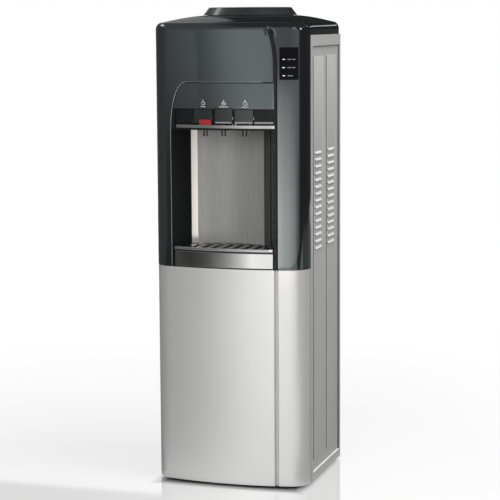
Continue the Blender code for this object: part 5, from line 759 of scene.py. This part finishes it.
class COOLER_OT_keys(bpy.types.Operator):
    """Keys, child lock, taps and the signs over them"""
    bl_idname = "cooler.keys"
    bl_label = "Keys and Taps"

    def execute(self, context):
        sizes = context.scene.cooler_sizes
        colours = context.scene.cooler_colours
        key = finish("key_black", (0.007, 0.010, 0.010), (0.011, 0.014, 0.014), grain=700.0,
                     rough=(0.10, 0.16), bump=0.000004, specular=0.7)
        smooth_copies(key, 0.0005, "key_hot", "key_room", "key_cold", rule=front_round)
        red = finish("lock_red", *tones(colours.lock_red, 0.62, 0.7), grain=500.0,
                     rough=(0.22, 0.3), bump=0.000006, coat=0.6)
        smooth_copy("child_lock", red, 0.0005, front_round)
        tap = finish("tap_black", (0.012, 0.014, 0.014), (0.020, 0.022, 0.022), grain=700.0,
                     rough=(0.16, 0.24), bump=0.000004, specular=0.8, coat=0.6)
        smooth_copies(tap, 0.0, "tap_hot", "tap_room", "tap_cold")
        stem = finish("plunger_white", (0.6, 0.6, 0.58), (0.68, 0.68, 0.66), rough=(0.3, 0.4))
        smooth_copies(stem, 0.0, "plunger_hot", "plunger_room", "plunger_cold")
        trim = finish("ledge_silver", (0.42, 0.42, 0.41), (0.46, 0.46, 0.45), grain=900.0,
                      stretch=(0.02, 1.0, 1.0), rough=(0.10, 0.14), metal=0.97, bump=0.000001)
        smooth_copy("ledge_trim", trim, 0.0004, front_round)
        lip = finish("lip_grey", (0.20, 0.21, 0.21), (0.24, 0.25, 0.25), grain=700.0,
                     rough=(0.2, 0.3), metal=0.3, bump=0.000003)
        lips = (("key_room", -0.0195, 0.0135), ("key_cold", 0.0204, 0.0546),
                ("bay_frame", 0.0584, 0.0940))
        for node, left, right in lips:
            rows = [[(x, z) for x in even(left, right, 8) + [right]] for z in LIP_HEIGHTS]
            draped(node + "_lip", node, rows, 0.0004, lip)
        # Dark sheets beside the keys paint the shade seen through the gaps between them
        for index, (left, right) in enumerate(KEY_SHADE_SHEETS):
            shape = bmesh.new()
            bmesh.ops.create_cube(shape, size=1.0)
            bmesh.ops.scale(shape, vec=(right - left, SHADE_SHEET_THICKNESS, SHADE_SHEET_HEIGHT),
                            verts=shape.verts[:])
            bmesh.ops.translate(shape, vec=((left + right) / 2, *SHADE_SHEET_MIDDLE),
                                verts=shape.verts[:])
            soften_edges(shape, shape.edges[:], 0.0004)
            place_piece(f"key_gap_shade_sheet_{index}", shape, key, "cabinet")
        print_white = finish("print_white", (0.44, 0.46, 0.46), (0.52, 0.53, 0.53),
                             rough=(0.4, 0.5))
        size, stroke, depth = sizes.sign_height, sizes.sign_stroke, sizes.print_depth
        rows = (("sign_hot", -44.4, steam_lines, 5.0), ("sign_room", -2.4, level_line, 9.5),
                ("sign_cold", 40.1, frost_star, 6.5))
        for name, x, extra, rule in rows:
            shape = bmesh.new()
            cup_sign(shape, size, stroke, depth)
            extra(shape, size, stroke, depth)
            low = -size * 0.86
            bar(shape, (-rule * MM, low), (rule * MM, low), stroke * 1.3, depth)
            lay_on(shape, "bay_frame", x * MM, SIGN_HEIGHT, depth)
            place_piece(name, shape, print_white, "cabinet")
        return {"FINISHED"}


class COOLER_OT_display(bpy.types.Operator):
    """Display window with its lit lamps and plain marks"""
    bl_idname = "cooler.display"
    bl_label = "Display"

    def execute(self, context):
        depth = context.scene.cooler_sizes.print_depth
        window = finish("window_black", (0.004, 0.004, 0.005), (0.006, 0.006, 0.007), grain=900.0,
                        rough=(0.05, 0.09), bump=0.000001, specular=0.05)
        smooth_copy("display_window", window, 0.0005, front_round)
        lamp = finish("lamp_lit", (0.66, 0.69, 0.71), (0.74, 0.76, 0.78), rough=(0.3, 0.4))
        set_inputs(lamp.node_tree, lamp.node_tree.nodes["Principled BSDF"], {
            "Emission Color": (0.9, 0.95, 1.0, 1.0), "Emission Strength": 0.12})
        dress(window, "light_guide")
        print_grey = finish("print_grey", (0.15, 0.16, 0.16), (0.19, 0.20, 0.20), rough=(0.4, 0.5))
        lens = box_axis("light_guide")[0] / MM
        rows = ((832.4, ((121.5, 127.5), (130.0, 135.0))),
                (817.0, ((121.5, 128.0), (130.0, 135.0))),
                (801.8, ((121.5, 131.0),)))
        for index, (z, bars) in enumerate(rows):
            shape = bmesh.new()
            bar(shape, (-1.9 * MM, 0.0), (1.9 * MM, 0.0), 1.5 * MM, depth)
            lay_on(shape, "light_guide", lens * MM, z * MM, depth)
            place_piece(f"lamp_light_{index}", shape, lamp, "cabinet")
            for part, (left, right) in enumerate(bars):
                shape = bmesh.new()
                half = (right - left) / 2 * MM
                bar(shape, (-half, 0.0), (half, 0.0), 1.7 * MM, depth)
                lay_on(shape, "display_window", (left + right) / 2 * MM, z * MM, depth)
                place_piece(f"display_mark_{index}_{part}", shape, print_grey, "cabinet")
        return {"FINISHED"}


def slab(shape, near, far, low, high):
    """A closed slab between two rows of places (x, y) and two heights."""
    made = bmesh.ops.create_grid(shape, x_segments=len(near) - 1, y_segments=1, size=0.5)
    verts = sorted(made["verts"], key=lambda vert: (round(vert.co.y, 4), vert.co.x))
    for vert, (x, y) in zip(verts, list(near) + list(far)):
        vert.co = (x, y, high)
    faces = list({face for vert in made["verts"] for face in vert.link_faces})
    pull_out(shape, faces, (0.0, 0.0, low - high))


def splash_depth(x, inset):
    """The Y of the hollow metal back at one X, drawn in by an inset."""
    radius = SPLASH_RADIUS - inset
    return SPLASH_CENTRE[1] + math.sqrt(max(radius * radius - (x - SPLASH_CENTRE[0]) ** 2, 0.0))


def grille_shape():
    """The tray's grille: a rim all round and wide bars that run from front to back."""
    low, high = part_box("drip_grille")
    left, right = low[0], high[0]
    front, behind = GRILLE_LIP
    shape = bmesh.new()
    across = even(left, right, 24) + [right]
    slab(shape, [(x, front_depth(x, front)) for x in across],
         [(x, front_depth(x, behind)) for x in across], low[2], high[2])
    top = high[2] - GRILLE_DROP
    foot = top - GRILLE_THICKNESS
    start, end = left + GRILLE_BACK_ENDS[0], right - GRILLE_BACK_ENDS[1]
    across = even(start, end, 16) + [end]
    slab(shape, [(x, splash_depth(x, GRILLE_BACK[0])) for x in across],
         [(x, splash_depth(x, GRILLE_BACK[1])) for x in across], foot, top)
    rails = [(left, left + GRILLE_RAIL), (right - GRILLE_RAIL, right)]
    pitch = (right - left - 2 * GRILLE_RAIL) / GRILLE_SLOTS
    middles = [left + GRILLE_RAIL + pitch * step for step in range(1, GRILLE_SLOTS)]
    rails += [(middle - GRILLE_HALF_BAR, middle + GRILLE_HALF_BAR) for middle in middles]
    start, end = left + GRILLE_CORNERS[0], right - GRILLE_CORNERS[1]
    for rail in rails:
        near = [(x, front_depth(x, behind)) for x in rail]
        far = [(x, splash_depth(x, GRILLE_REACH) if start < x < end else GRILLE_CORNER_Y)
               for x in rail]
        slab(shape, near, far, foot, top)
    soften_edges(shape, sharp_edges(shape, 60.0), 0.0004)
    return shape


class COOLER_OT_splash_and_tray(bpy.types.Operator):
    """Brushed backsplash, drip tray, its front and its grille"""
    bl_idname = "cooler.splash_and_tray"
    bl_label = "Backsplash and Tray"

    def execute(self, context):
        steel = context.scene.cooler_colours.steel
        brushed = finish("brushed_splash", *tones(steel, 0.445, 0.465), grain=800.0,
                         stretch=(1.0, 1.0, 0.02), rough=(0.26, 0.32), metal=0.16, bump=0.000002,
                         fine=1500.0, cloud=30.0, specular=0.3)
        splash = smooth_copy(
            "backsplash", brushed, 0.0, splash_round,
            cuts=((SPLASH_FOLD_X, (1.0, 0.0, 0.0)), (SPLASH_SHADE_X, (1.0, 0.0, 0.0))))
        # A lighter, glossier steel on the left fold paints the highlight that falls there
        fold_highlight = finish("fold_painted_highlight", *tones(steel, 0.84, 0.88), grain=900.0,
                          stretch=(1.0, 1.0, 0.02), rough=(0.12, 0.16), metal=0.8, bump=0.000001)
        second_material(splash, fold_highlight, lambda middle, normal: middle.x < SPLASH_FOLD_X)
        # A dark steel on the right fold paints the shade that falls there
        fold_shade = finish("fold_painted_shade", *tones(steel, 0.10, 0.13), grain=900.0,
                        stretch=(1.0, 1.0, 0.02), rough=(0.2, 0.28), metal=0.3, bump=0.000001)
        second_material(splash, fold_shade, lambda middle, normal: middle.x > SPLASH_SHADE_X)
        front = finish("brushed_front", *tones(steel, 0.98, 1.02), grain=900.0,
                       stretch=(0.03, 1.0, 1.0), rough=(0.06, 0.09), metal=1.0, bump=0.000001)
        smooth_copy("tray_front", front, 0.0006, front_round)
        well = finish("tray_black", (0.012, 0.014, 0.014), (0.02, 0.022, 0.022), rough=(0.3, 0.42),
                      bump=0.00002)
        dress(well, "drip_tray")
        grille = finish("grille_grey", (0.34, 0.345, 0.345), (0.40, 0.405, 0.405), grain=700.0,
                        rough=(0.12, 0.18), metal=0.9, bump=0.000004)
        bars = place_piece("drip_grille_bars", grille_shape(), grille, BODIES["drip_grille"])
        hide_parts("drip_grille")
        return {"FINISHED"}


class COOLER_OT_door(bpy.types.Operator):
    """Painted door skin, its caps, lining and gasket"""
    bl_idname = "cooler.door"
    bl_label = "Fridge Door"

    def execute(self, context):
        silver = context.scene.cooler_colours.silver
        skin = finish("silver_paint", *tones(silver, 1.045, 1.075), grain=1600.0,
                      rough=(0.30, 0.34), metal=0.55, bump=0.000004, coat=0.15, coat_rough=0.12,
                      cloud=3.0)
        door = smooth_copy("door_skin", skin, 0.0007, front_round)
        # A darker paint in the door's grip groove: painted shade
        pull = finish("pull_groove_painted_shade", *tones(silver, 0.78, 0.84), grain=1200.0, rough=(0.4, 0.5),
                      metal=0.1, bump=0.000004)
        second_material(door, pull, in_pull)
        cap = finish("cap_grey", (0.42, 0.42, 0.41), (0.46, 0.46, 0.45), rough=(0.35, 0.45),
                     bump=0.00001)
        smooth_copies(cap, 0.0, "door_top_cap", "door_bottom_cap", rule=front_round)
        lining = finish("lining_white", (0.76, 0.77, 0.77), (0.81, 0.82, 0.82), grain=300.0,
                        rough=(0.28, 0.36), bump=0.00002, coat=0.2)
        smooth_copies(lining, 0.0012, "door_inner_panel", "fridge_liner")
        gasket = finish("gasket_grey", (0.42, 0.43, 0.43), (0.48, 0.49, 0.49), rough=(0.55, 0.65),
                        bump=0.00003)
        dress(gasket, "door_gasket")
        foam = finish("foam_yellow", (0.66, 0.55, 0.30), (0.76, 0.66, 0.42), grain=500.0,
                      rough=(0.8, 0.95), bump=0.0002, fine=700.0)
        dress(foam, "door_foam", "fridge_foam", "cold_tank_jacket")
        return {"FINISHED"}


class COOLER_OT_fridge_inside(bpy.types.Operator):
    """Wire shelf and cold plate inside the fridge"""
    bl_idname = "cooler.fridge_inside"
    bl_label = "Fridge Inside"

    def execute(self, context):
        wire = finish("shelf_white", (0.72, 0.73, 0.73), (0.80, 0.81, 0.81), rough=(0.25, 0.35),
                      bump=0.00002, coat=0.4)
        smooth_copy("fridge_shelf", wire, 0.0007)
        plate = finish("cold_plate_alloy", (0.62, 0.63, 0.64), (0.74, 0.75, 0.76), grain=260.0,
                       rough=(0.28, 0.42), metal=0.9, bump=0.00003)
        dress(plate, "cold_plate")
        return {"FINISHED"}


class COOLER_OT_side_panels(bpy.types.Operator):
    """Painted steel side panels"""
    bl_idname = "cooler.side_panels"
    bl_label = "Side Panels"

    def execute(self, context):
        grey = context.scene.cooler_colours.panel_grey
        paint = finish("panel_paint", *tones(grey, 0.97, 1.03), grain=1300.0, rough=(0.38, 0.46),
                       metal=0.15, bump=0.00002, fine=1100.0, coat=0.1, coat_rough=0.2, cloud=3.0)
        # A lighter paint on the louvres' upward lips, the lower hem and the front edge: painted
        # highlight
        lit = finish("louvre_painted_highlight", *tones(grey, 1.5, 1.6), grain=1300.0, rough=(0.3, 0.38),
                     bump=0.00001, coat=0.2)
        # A much darker paint on the walls of the pressed lines: painted shade in the creases
        crease = finish("crease_painted_shade", *tones(grey, 0.24, 0.28), grain=1300.0, rough=(0.4, 0.5),
                        bump=0.00001)
        for node in ("side_panel_left", "side_panel_right"):
            panel = smooth_copy(node, paint, sharp=8.0)
            second_material(panel, lit, louvre_lit)
            second_material(panel, crease, panel_crease)
        return {"FINISHED"}


class COOLER_OT_rear(bpy.types.Operator):
    """Rear panel, switches, dial, inlet and screws"""
    bl_idname = "cooler.rear"
    bl_label = "Rear"

    def execute(self, context):
        zinc = finish("zinc_sheet", (0.44, 0.45, 0.46), (0.58, 0.59, 0.60), grain=120.0,
                      rough=(0.32, 0.48), metal=0.85, bump=0.00003, cloud=60.0)
        dress(zinc, "rear_panel", "machine_deck", "tank_shelf", "hinge_top", "hinge_bottom",
              "base_pan")
        black = finish("switch_black", (0.014, 0.014, 0.015), (0.022, 0.022, 0.023),
                       rough=(0.35, 0.45), bump=0.00002)
        smooth_copies(black, 0.0005, "switch_housing", "thermostat_dial", "cord_inlet")
        red = finish("rocker_red", (0.36, 0.012, 0.014), (0.42, 0.016, 0.018), rough=(0.25, 0.35),
                     coat=0.4)
        smooth_copy("rocker_heater", red, 0.0005)
        green = finish("rocker_green", (0.012, 0.20, 0.06), (0.016, 0.25, 0.08), rough=(0.25, 0.35),
                       coat=0.4)
        smooth_copy("rocker_cooling", green, 0.0005)
        screw = finish("screw_zinc", (0.55, 0.56, 0.57), (0.68, 0.69, 0.70), grain=600.0,
                       rough=(0.25, 0.4), metal=0.95, bump=0.00001)
        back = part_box("rear_panel")[1][1]
        places = [(side * SCREW_X, back, z) for side in (-1, 1) for z in SCREW_HEIGHTS]
        screws("rear_screws", places, screw, "cabinet")
        return {"FINISHED"}


class COOLER_OT_refrigeration(bpy.types.Operator):
    """Compressor and the wire condenser"""
    bl_idname = "cooler.refrigeration"
    bl_label = "Refrigeration"

    def execute(self, context):
        enamel = finish("black_enamel", (0.010, 0.010, 0.011), (0.018, 0.018, 0.019), grain=300.0,
                        rough=(0.2, 0.32), bump=0.00004, coat=0.4)
        smooth_copy("compressor", enamel, 0.0008)
        smooth_copy("condenser_tube", enamel, sharp=60.0)
        smooth_copy("condenser_wires", enamel)
        return {"FINISHED"}


class COOLER_OT_tanks(bpy.types.Operator):
    """Hot tank, cold tank and water tubes"""
    bl_idname = "cooler.tanks"
    bl_label = "Tanks"

    def execute(self, context):
        tank = finish("tank_steel", (0.52, 0.52, 0.51), (0.64, 0.64, 0.63), grain=500.0,
                      stretch=(1.0, 1.0, 0.05), rough=(0.22, 0.34), metal=1.0, bump=0.00001)
        smooth_copy("hot_tank", tank, 0.0006)
        smooth_copy("cold_tank", tank, 0.0, axis_round("cold_tank", 7.5))
        tube = finish("tube_silicone", (0.62, 0.63, 0.62), (0.72, 0.73, 0.72), rough=(0.35, 0.45),
                      bump=0.00001)
        smooth_copies(tube, 0.0, "tube_hot", "tube_room", "tube_cold")
        return {"FINISHED"}


class COOLER_OT_feet(bpy.types.Operator):
    """Rubber feet"""
    bl_idname = "cooler.feet"
    bl_label = "Feet"

    def execute(self, context):
        rubber = finish("foot_rubber", (0.012, 0.012, 0.012), (0.022, 0.022, 0.022), grain=400.0,
                        rough=(0.6, 0.75), bump=0.00004)
        smooth_copies(rubber, 0.0008, "foot_front_left", "foot_front_right", "foot_rear_left",
                      "foot_rear_right")
        return {"FINISHED"}


def look_matrix(position, yaw, pitch, roll):
    """The place of a camera that stands at a point and looks along a yaw and pitch."""
    forward = Vector((-math.sin(yaw) * math.cos(pitch), math.cos(yaw) * math.cos(pitch),
                      -math.sin(pitch)))
    right = Vector((math.cos(yaw), math.sin(yaw), 0.0))
    up = right.cross(forward)
    side = right * math.cos(roll) + up * math.sin(roll)
    top = up * math.cos(roll) - right * math.sin(roll)
    turn = Matrix((side, top, -forward)).transposed().to_4x4()
    return Matrix.Translation(position) @ turn


def area_lamp(name, position, target, width, height, power):
    """A lamp that lights its target and shows in no reflection."""
    data = bpy.data.lights.new(name, "AREA")
    data.shape = "RECTANGLE"
    data.size = width
    data.size_y = height
    data.energy = power
    lamp = add_object(name, data)
    position = Vector(position)
    turn = (Vector(target) - position).to_track_quat("-Z", "Y").to_matrix().to_4x4()
    lamp.matrix_world = Matrix.Translation(position) @ turn
    lamp.visible_glossy = False


def level_ramp(tree, value, stops):
    """A curve of brightness along one direction of a card, from pairs of place and level."""
    ramp = tree.nodes.new("ShaderNodeValToRGB")
    points = ramp.color_ramp.elements
    while len(points) < len(stops):
        points.new(0.5)
    top = max(level for _, level in stops)
    for point, (place, level) in zip(points, stops):
        point.position = place
        point.color = (level / top, level / top, level / top, 1.0)
    set_inputs(tree, ramp, {"Fac": value})
    return compute(tree, "MULTIPLY", ramp.outputs["Color"], top)


def shares(low, high, pairs):
    """Places between two ends as shares of the whole way."""
    return [((place - low) / (high - low), level) for place, level in pairs]


def ends(first, last=None):
    """The same level from end to end, or an even run to another level."""
    return (0.0, first), (1.0, first if last is None else last)


def stage_sheet(name, size, material_name):
    """A flat square for the stage with its own material, and that material's node tree."""
    shape = bmesh.new()
    bmesh.ops.create_grid(shape, x_segments=1, y_segments=1, size=size)
    made = add_mesh(name, shape)
    material = bpy.data.materials.new(material_name)
    material.use_nodes = True
    made.data.materials.append(material)
    return made, material.node_tree


def card(name, low, high, upper, lower=None, fade=(0.25, 0.75), lean=0.0, lying=0.0,
         tint=(1.0, 1.0, 1.0)):
    """A card that only reflections see, with a curve of brightness from its left to its right end.

    The curve of its upper half turns into that of its lower half between two shares of its height.
    A lying card reaches back by a distance instead of up, and one that lies lower than a metre is
    clear from below.
    """
    low, high = Vector(low), Vector(high)
    made, tree = stage_sheet(name, 0.5, name)
    along = Vector((high.x - low.x, high.y - low.y, 0.0))
    up = Vector((0.0, lying, high.z - low.z))
    turn = Matrix((along, up, along.cross(up).normalized())).transposed().to_4x4()
    made.matrix_world = Matrix.Translation(low + (along + up) / 2) @ turn
    tree.nodes.remove(tree.nodes["Principled BSDF"])
    place = add_node(tree, "TexCoord", output="Object")
    split = add_node(tree, "SeparateXYZ", {"Vector": place}, None)
    tilted = compute(tree, "MULTIPLY_ADD", split["Y"], lean, split["X"])
    strength = level_ramp(tree, compute(tree, "ADD", tilted, 0.5), upper)
    if lower is not None:
        height = map_range(tree, split["Y"], fade[0] - 0.5, fade[1] - 0.5,
                           interpolation_type="SMOOTHSTEP")
        straight = level_ramp(tree, compute(tree, "ADD", split["X"], 0.5), lower)
        strength = add_node(tree, "Mix", {"Factor": height, 2: straight, 3: strength})
    glow = add_node(tree, "Emission", {"Color": (*tint, 1.0), "Strength": strength})
    if lying and low.z < 1.0:
        below = add_node(tree, "NewGeometry", output="Backfacing")
        clear = add_node(tree, "BsdfTransparent")
        glow = add_node(tree, "MixShader", {"Fac": below, 1: glow, 2: clear})
    set_inputs(tree, tree.nodes["Material Output"], {"Surface": glow})
    made.visible_camera = made.visible_diffuse = False
    made.visible_shadow = made.visible_transmission = False


def background_share(tree):
    """One where a camera, glossy or transmission ray looks, zero elsewhere."""
    rays = add_node(tree, "LightPath", output=None)
    seen = compute(tree, "MAXIMUM", rays["Is Camera Ray"], rays["Is Glossy Ray"])
    return compute(tree, "MAXIMUM", seen, rays["Is Transmission Ray"])


def add_floor():
    """Pale paper that mirrors a little and glows, less near the cooler and not right under it, as
    painted shade.
    """
    floor, tree = stage_sheet("floor", 12.0, "floor_paper")
    paper = tree.nodes["Principled BSDF"]
    set_inputs(tree, paper, {
        "Base Color": (0.24, 0.24, 0.24, 1.0), "Roughness": 0.9, "Specular IOR Level": 0.0})
    mirror = add_node(tree, "BsdfAnisotropic", {"Roughness": 0.04})
    matt = paper.outputs["BSDF"]
    sheen = add_node(tree, "MixShader", {"Fac": 0.40, 1: matt, 2: mirror})
    place = add_node(tree, "TexCoord", output="Object")
    reach = add_node(tree, "VectorMath", {0: place}, "Value", operation="LENGTH")
    # The glow fades near the cooler, painted shade round it
    level = map_range(tree, reach, 0.5, 2.2, 0.42, 0.60)
    split = add_node(tree, "SeparateXYZ", {"Vector": place}, None)
    sides = [compute(tree, "ABSOLUTE", compute(tree, "ADD", split[axis], shift))
             for axis, shift in (("X", 0.0), ("Y", 0.02))]
    # No glow right under the cooler: a painted contact shadow
    beside = map_range(tree, compute(tree, "MAXIMUM", *sides), 0.132, 0.160)
    level = compute(tree, "MULTIPLY", level, beside)
    strength = compute(tree, "MULTIPLY", background_share(tree), level)
    glow = add_node(tree, "Emission", {"Strength": strength})
    both = add_node(tree, "AddShader", {0: sheen, 1: glow})
    set_inputs(tree, tree.nodes["Material Output"], {"Surface": both})


def add_world(fill):
    """A white background that lights the cooler with a share of what it shows."""
    world = bpy.data.worlds.new("studio")
    bpy.context.scene.world = world
    world.use_nodes = True
    tree = world.node_tree
    level = map_range(tree, background_share(tree), 0.0, 1.0, fill, 1.0)
    set_inputs(tree, tree.nodes["Background"], {"Strength": level, "Color": (1.0, 1.0, 1.0, 1.0)})


def add_front_cards(left, right):
    """The wide card in front, the narrow ones that the pillar shows and those on the floor."""
    upper = shares(left, right, (
        (-2.48, 0.29), (-1.53, 0.47), (-1.38, 0.48), (-1.36, 0.34), (-1.19, 0.43), (-1.016, 0.54),
        (-0.715, 0.82), (-0.425, 0.97), (0.144, 0.95), (0.286, 0.7), (0.45, 0.55), (1.1, 0.42)))
    lower = shares(left, right, (
        (-2.48, 0.1), (-1.7, 0.05), (-1.36, 0.09), (-1.19, 0.13), (-1.016, 0.23), (-0.865, 0.34),
        (-0.715, 0.52), (-0.57, 0.75), (-0.425, 1.08), (-0.28, 1.5), (0.01, 1.4), (1.1, 0.9)))
    card("front_glow", (left, -2.6, 0.0), (right, -2.6, 1.1), upper, lower, (0.2, 0.75), 0.1)
    edge, end, depth = 0.0985, 0.80, -0.36
    warm = (1.0, 0.93, 0.90)
    low = shares(edge, end, (
        (0.1, 4.2), (0.105, 3.9), (0.117, 3.2), (0.138, 2.5), (0.15, 2.3), (0.19, 2.0),
        (0.235, 1.8), (0.30, 1.5), (0.41, 0.8), (0.57, 0.42), (0.70, 0.2), (0.80, 0.06)))
    middle = shares(edge, end, (
        (0.1, 1.9), (0.117, 1.55), (0.138, 1.28), (0.15, 1.2), (0.19, 1.07), (0.235, 0.98),
        (0.30, 0.85), (0.41, 0.75), (0.57, 0.65), (0.70, 0.3), (0.80, 0.06)))
    high = shares(edge, end, (
        (0.1, 0.55), (0.117, 0.45), (0.138, 0.43), (0.15, 0.42), (0.19, 0.42), (0.235, 0.46),
        (0.30, 0.5), (0.41, 0.55), (0.57, 0.55), (0.70, 0.3), (0.80, 0.06)))
    card("pillar_glow", (edge, depth, 0.405), (end, depth, 0.72), middle, low, (0.25, 1.15),
         tint=warm)
    card("pillar_glow_top", (edge, depth, 0.72), (end, depth, 0.93), high, middle, (0.0, 0.5),
         tint=warm)
    ahead = shares(left, right, (
        (-2.9, 0.06), (-1.7, 0.08), (-1.2, 0.22), (-0.75, 0.85), (-0.3, 1.6), (0.0, 1.95),
        (0.3, 1.7), (1.1, 1.3)))
    close = shares(left, right, (
        (-2.9, 0.05), (-1.2, 0.08), (-0.6, 0.12), (-0.3, 0.35), (-0.12, 0.75), (0.0, 1.05),
        (0.3, 1.0), (1.1, 0.7)))
    card("floor_glow", (left, -2.6, 0.003), (right, -2.6, 0.003), close, ahead, (0.1, 0.95),
         lying=2.42)
    card("floor_glow_right", (right, -2.6, 0.003), (3.0, -2.6, 0.003),
         ((0.0, 1.6), (0.18, 1.5), (0.28, 0.35), (1.0, 0.2)), lean=2.03, lying=2.3)


def add_flags(left, right):
    """The darker cards all round and above, and the small bright ones for the edge lights."""
    card("floor_flag_left", (-3.2, -0.15, 0.004), (-0.17, -0.15, 0.004), ends(0.12), lying=4.0)
    card("floor_flag_right", (0.17, -0.25, 0.004), (4.5, -0.25, 0.004), ends(0.3, 0.2), lying=4.2)
    card("left_flag", (-2.6, 3.0, 0.0), (left, -2.6, 2.6), ends(0.1, 0.22))
    card("right_glow", (right, -2.6, 0.0), (2.45, -1.89, 1.1), ends(0.9, 0.6))
    card("right_flag", (2.45, -1.89, 0.0), (4.5, 0.3, 2.6), ends(0.05))
    card("far_right_flag", (4.5, 0.3, 0.0), (3.2, 4.0, 2.6), ends(0.05))
    rising = shares(-3.2, 1.6, (
        (-3.2, 0.3), (-1.36, 0.34), (-1.016, 0.48), (-0.715, 0.62), (-0.425, 0.7), (0.144, 0.7),
        (0.286, 0.55), (0.45, 0.5), (1.6, 0.42)))
    falling = shares(-3.2, 1.6, ((-3.2, 0.3), (-1.3, 0.3), (-0.9, 0.2), (1.6, 0.2)))
    card("top_flag", (-3.2, -2.6, 1.1), (1.6, -2.6, 3.0), falling, rising, (0.0, 0.8))
    above = shares(-3.2, 4.8, ((-3.2, 0.25), (-0.9, 0.25), (-0.6, 0.06), (4.8, 0.06)))
    card("overhead_flag", (-3.2, -2.6, 3.0), (4.8, -2.6, 3.0), above, lying=5.6)
    card("collar_glow", (-2.9, -0.6, 2.6), (-1.7, -0.6, 2.6), ends(3.5), lying=1.4)
    card("rear_right_flag", (3.2, 4.0, 0.0), (0.3, 6.0, 3.0), ends(0.06))
    behind = shares(2.5, -4.0, (
        (2.5, 0.02), (-1.16, 0.02), (-1.20, 0.3), (-2.6, 0.3), (-2.68, 1.8), (-2.85, 1.8),
        (-2.9, 0.2), (-4.0, 0.2)))
    card("rear_flag", (2.5, 3.0, 0.96), (-4.0, 3.0, 3.2), behind)
    card("corner_glow", (2.75, -1.05, 1.0), (2.95, -0.3, 1.9),
         ((0.0, 0.06), (0.3, 4.0), (0.7, 4.0), (1.0, 0.06)), ends(0.06), (0.0, 0.3))
    card("edge_glow", (1.45, 2.98, 1.36), (0.45, 2.98, 1.52), ends(0.9))


class COOLER_OT_stage(bpy.types.Operator):
    """Floor, lamps, studio light and the camera"""
    bl_idname = "cooler.stage"
    bl_label = "Stage"

    def execute(self, context):
        scene = context.scene
        stage = scene.cooler_stage
        data = bpy.data.cameras.new("view_camera")
        data.sensor_width = 36.0
        data.lens = 126.063
        camera = add_object("view_camera", data)
        camera.matrix_world = look_matrix(
            Vector((1.043275, -3.335097, 0.911529)), math.radians(17.39), math.radians(7.572),
            math.radians(-0.342))
        scene.camera = camera

        add_floor()
        add_world(stage.fill)
        area_lamp("front_softbox", (-0.1, -3.0, 1.3), (0.0, 0.0, 0.5), 1.3, 2.2, stage.key_power)
        area_lamp("right_softbox", (1.4, -0.25, 2.9), (0.15, 0.0, 0.5), 1.6, 2.0, stage.side_power)
        left, right = -2.9, 1.1
        add_front_cards(left, right)
        add_flags(left, right)
        scene.view_settings.view_transform = "Standard"
        return {"FINISHED"}


class COOLER_PT_panel(bpy.types.Panel):
    """Lists the steps that dress the cooler"""
    bl_idname = "COOLER_PT_panel"
    bl_label = "Water Cooler"
    bl_space_type = "VIEW_3D"
    bl_region_type = "UI"
    bl_category = "Cooler"

    def draw(self, context):
        scene = context.scene
        for group in (scene.cooler_sizes, scene.cooler_colours, scene.cooler_stage):
            box = self.layout.box()
            for name in group.__annotations__:
                box.prop(group, name)
        for step in STEPS:
            self.layout.operator(step.bl_idname)


STEPS = (
    COOLER_OT_front_shell, COOLER_OT_bottle_seat, COOLER_OT_keys, COOLER_OT_display,
    COOLER_OT_splash_and_tray, COOLER_OT_door, COOLER_OT_fridge_inside, COOLER_OT_side_panels,
    COOLER_OT_rear, COOLER_OT_refrigeration, COOLER_OT_tanks, COOLER_OT_feet, COOLER_OT_stage,
)
CLASSES = (CoolerSizes, CoolerColours, CoolerStage) + STEPS + (COOLER_PT_panel,)


def register():
    for item in CLASSES:
        bpy.utils.register_class(item)
    bpy.types.Scene.cooler_sizes = bpy.props.PointerProperty(type=CoolerSizes)
    bpy.types.Scene.cooler_colours = bpy.props.PointerProperty(type=CoolerColours)
    bpy.types.Scene.cooler_stage = bpy.props.PointerProperty(type=CoolerStage)


def unregister():
    del bpy.types.Scene.cooler_stage
    del bpy.types.Scene.cooler_colours
    del bpy.types.Scene.cooler_sizes
    for item in reversed(CLASSES):
        bpy.utils.unregister_class(item)


def main():
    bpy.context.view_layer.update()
    register()
    bpy.ops.cooler.front_shell()
    bpy.ops.cooler.bottle_seat()
    bpy.ops.cooler.keys()
    bpy.ops.cooler.display()
    bpy.ops.cooler.splash_and_tray()
    bpy.ops.cooler.door()
    bpy.ops.cooler.fridge_inside()
    bpy.ops.cooler.side_panels()
    bpy.ops.cooler.rear()
    bpy.ops.cooler.refrigeration()
    bpy.ops.cooler.tanks()
    bpy.ops.cooler.feet()
    bpy.ops.cooler.stage()


if __name__ == "__main__":
    main()
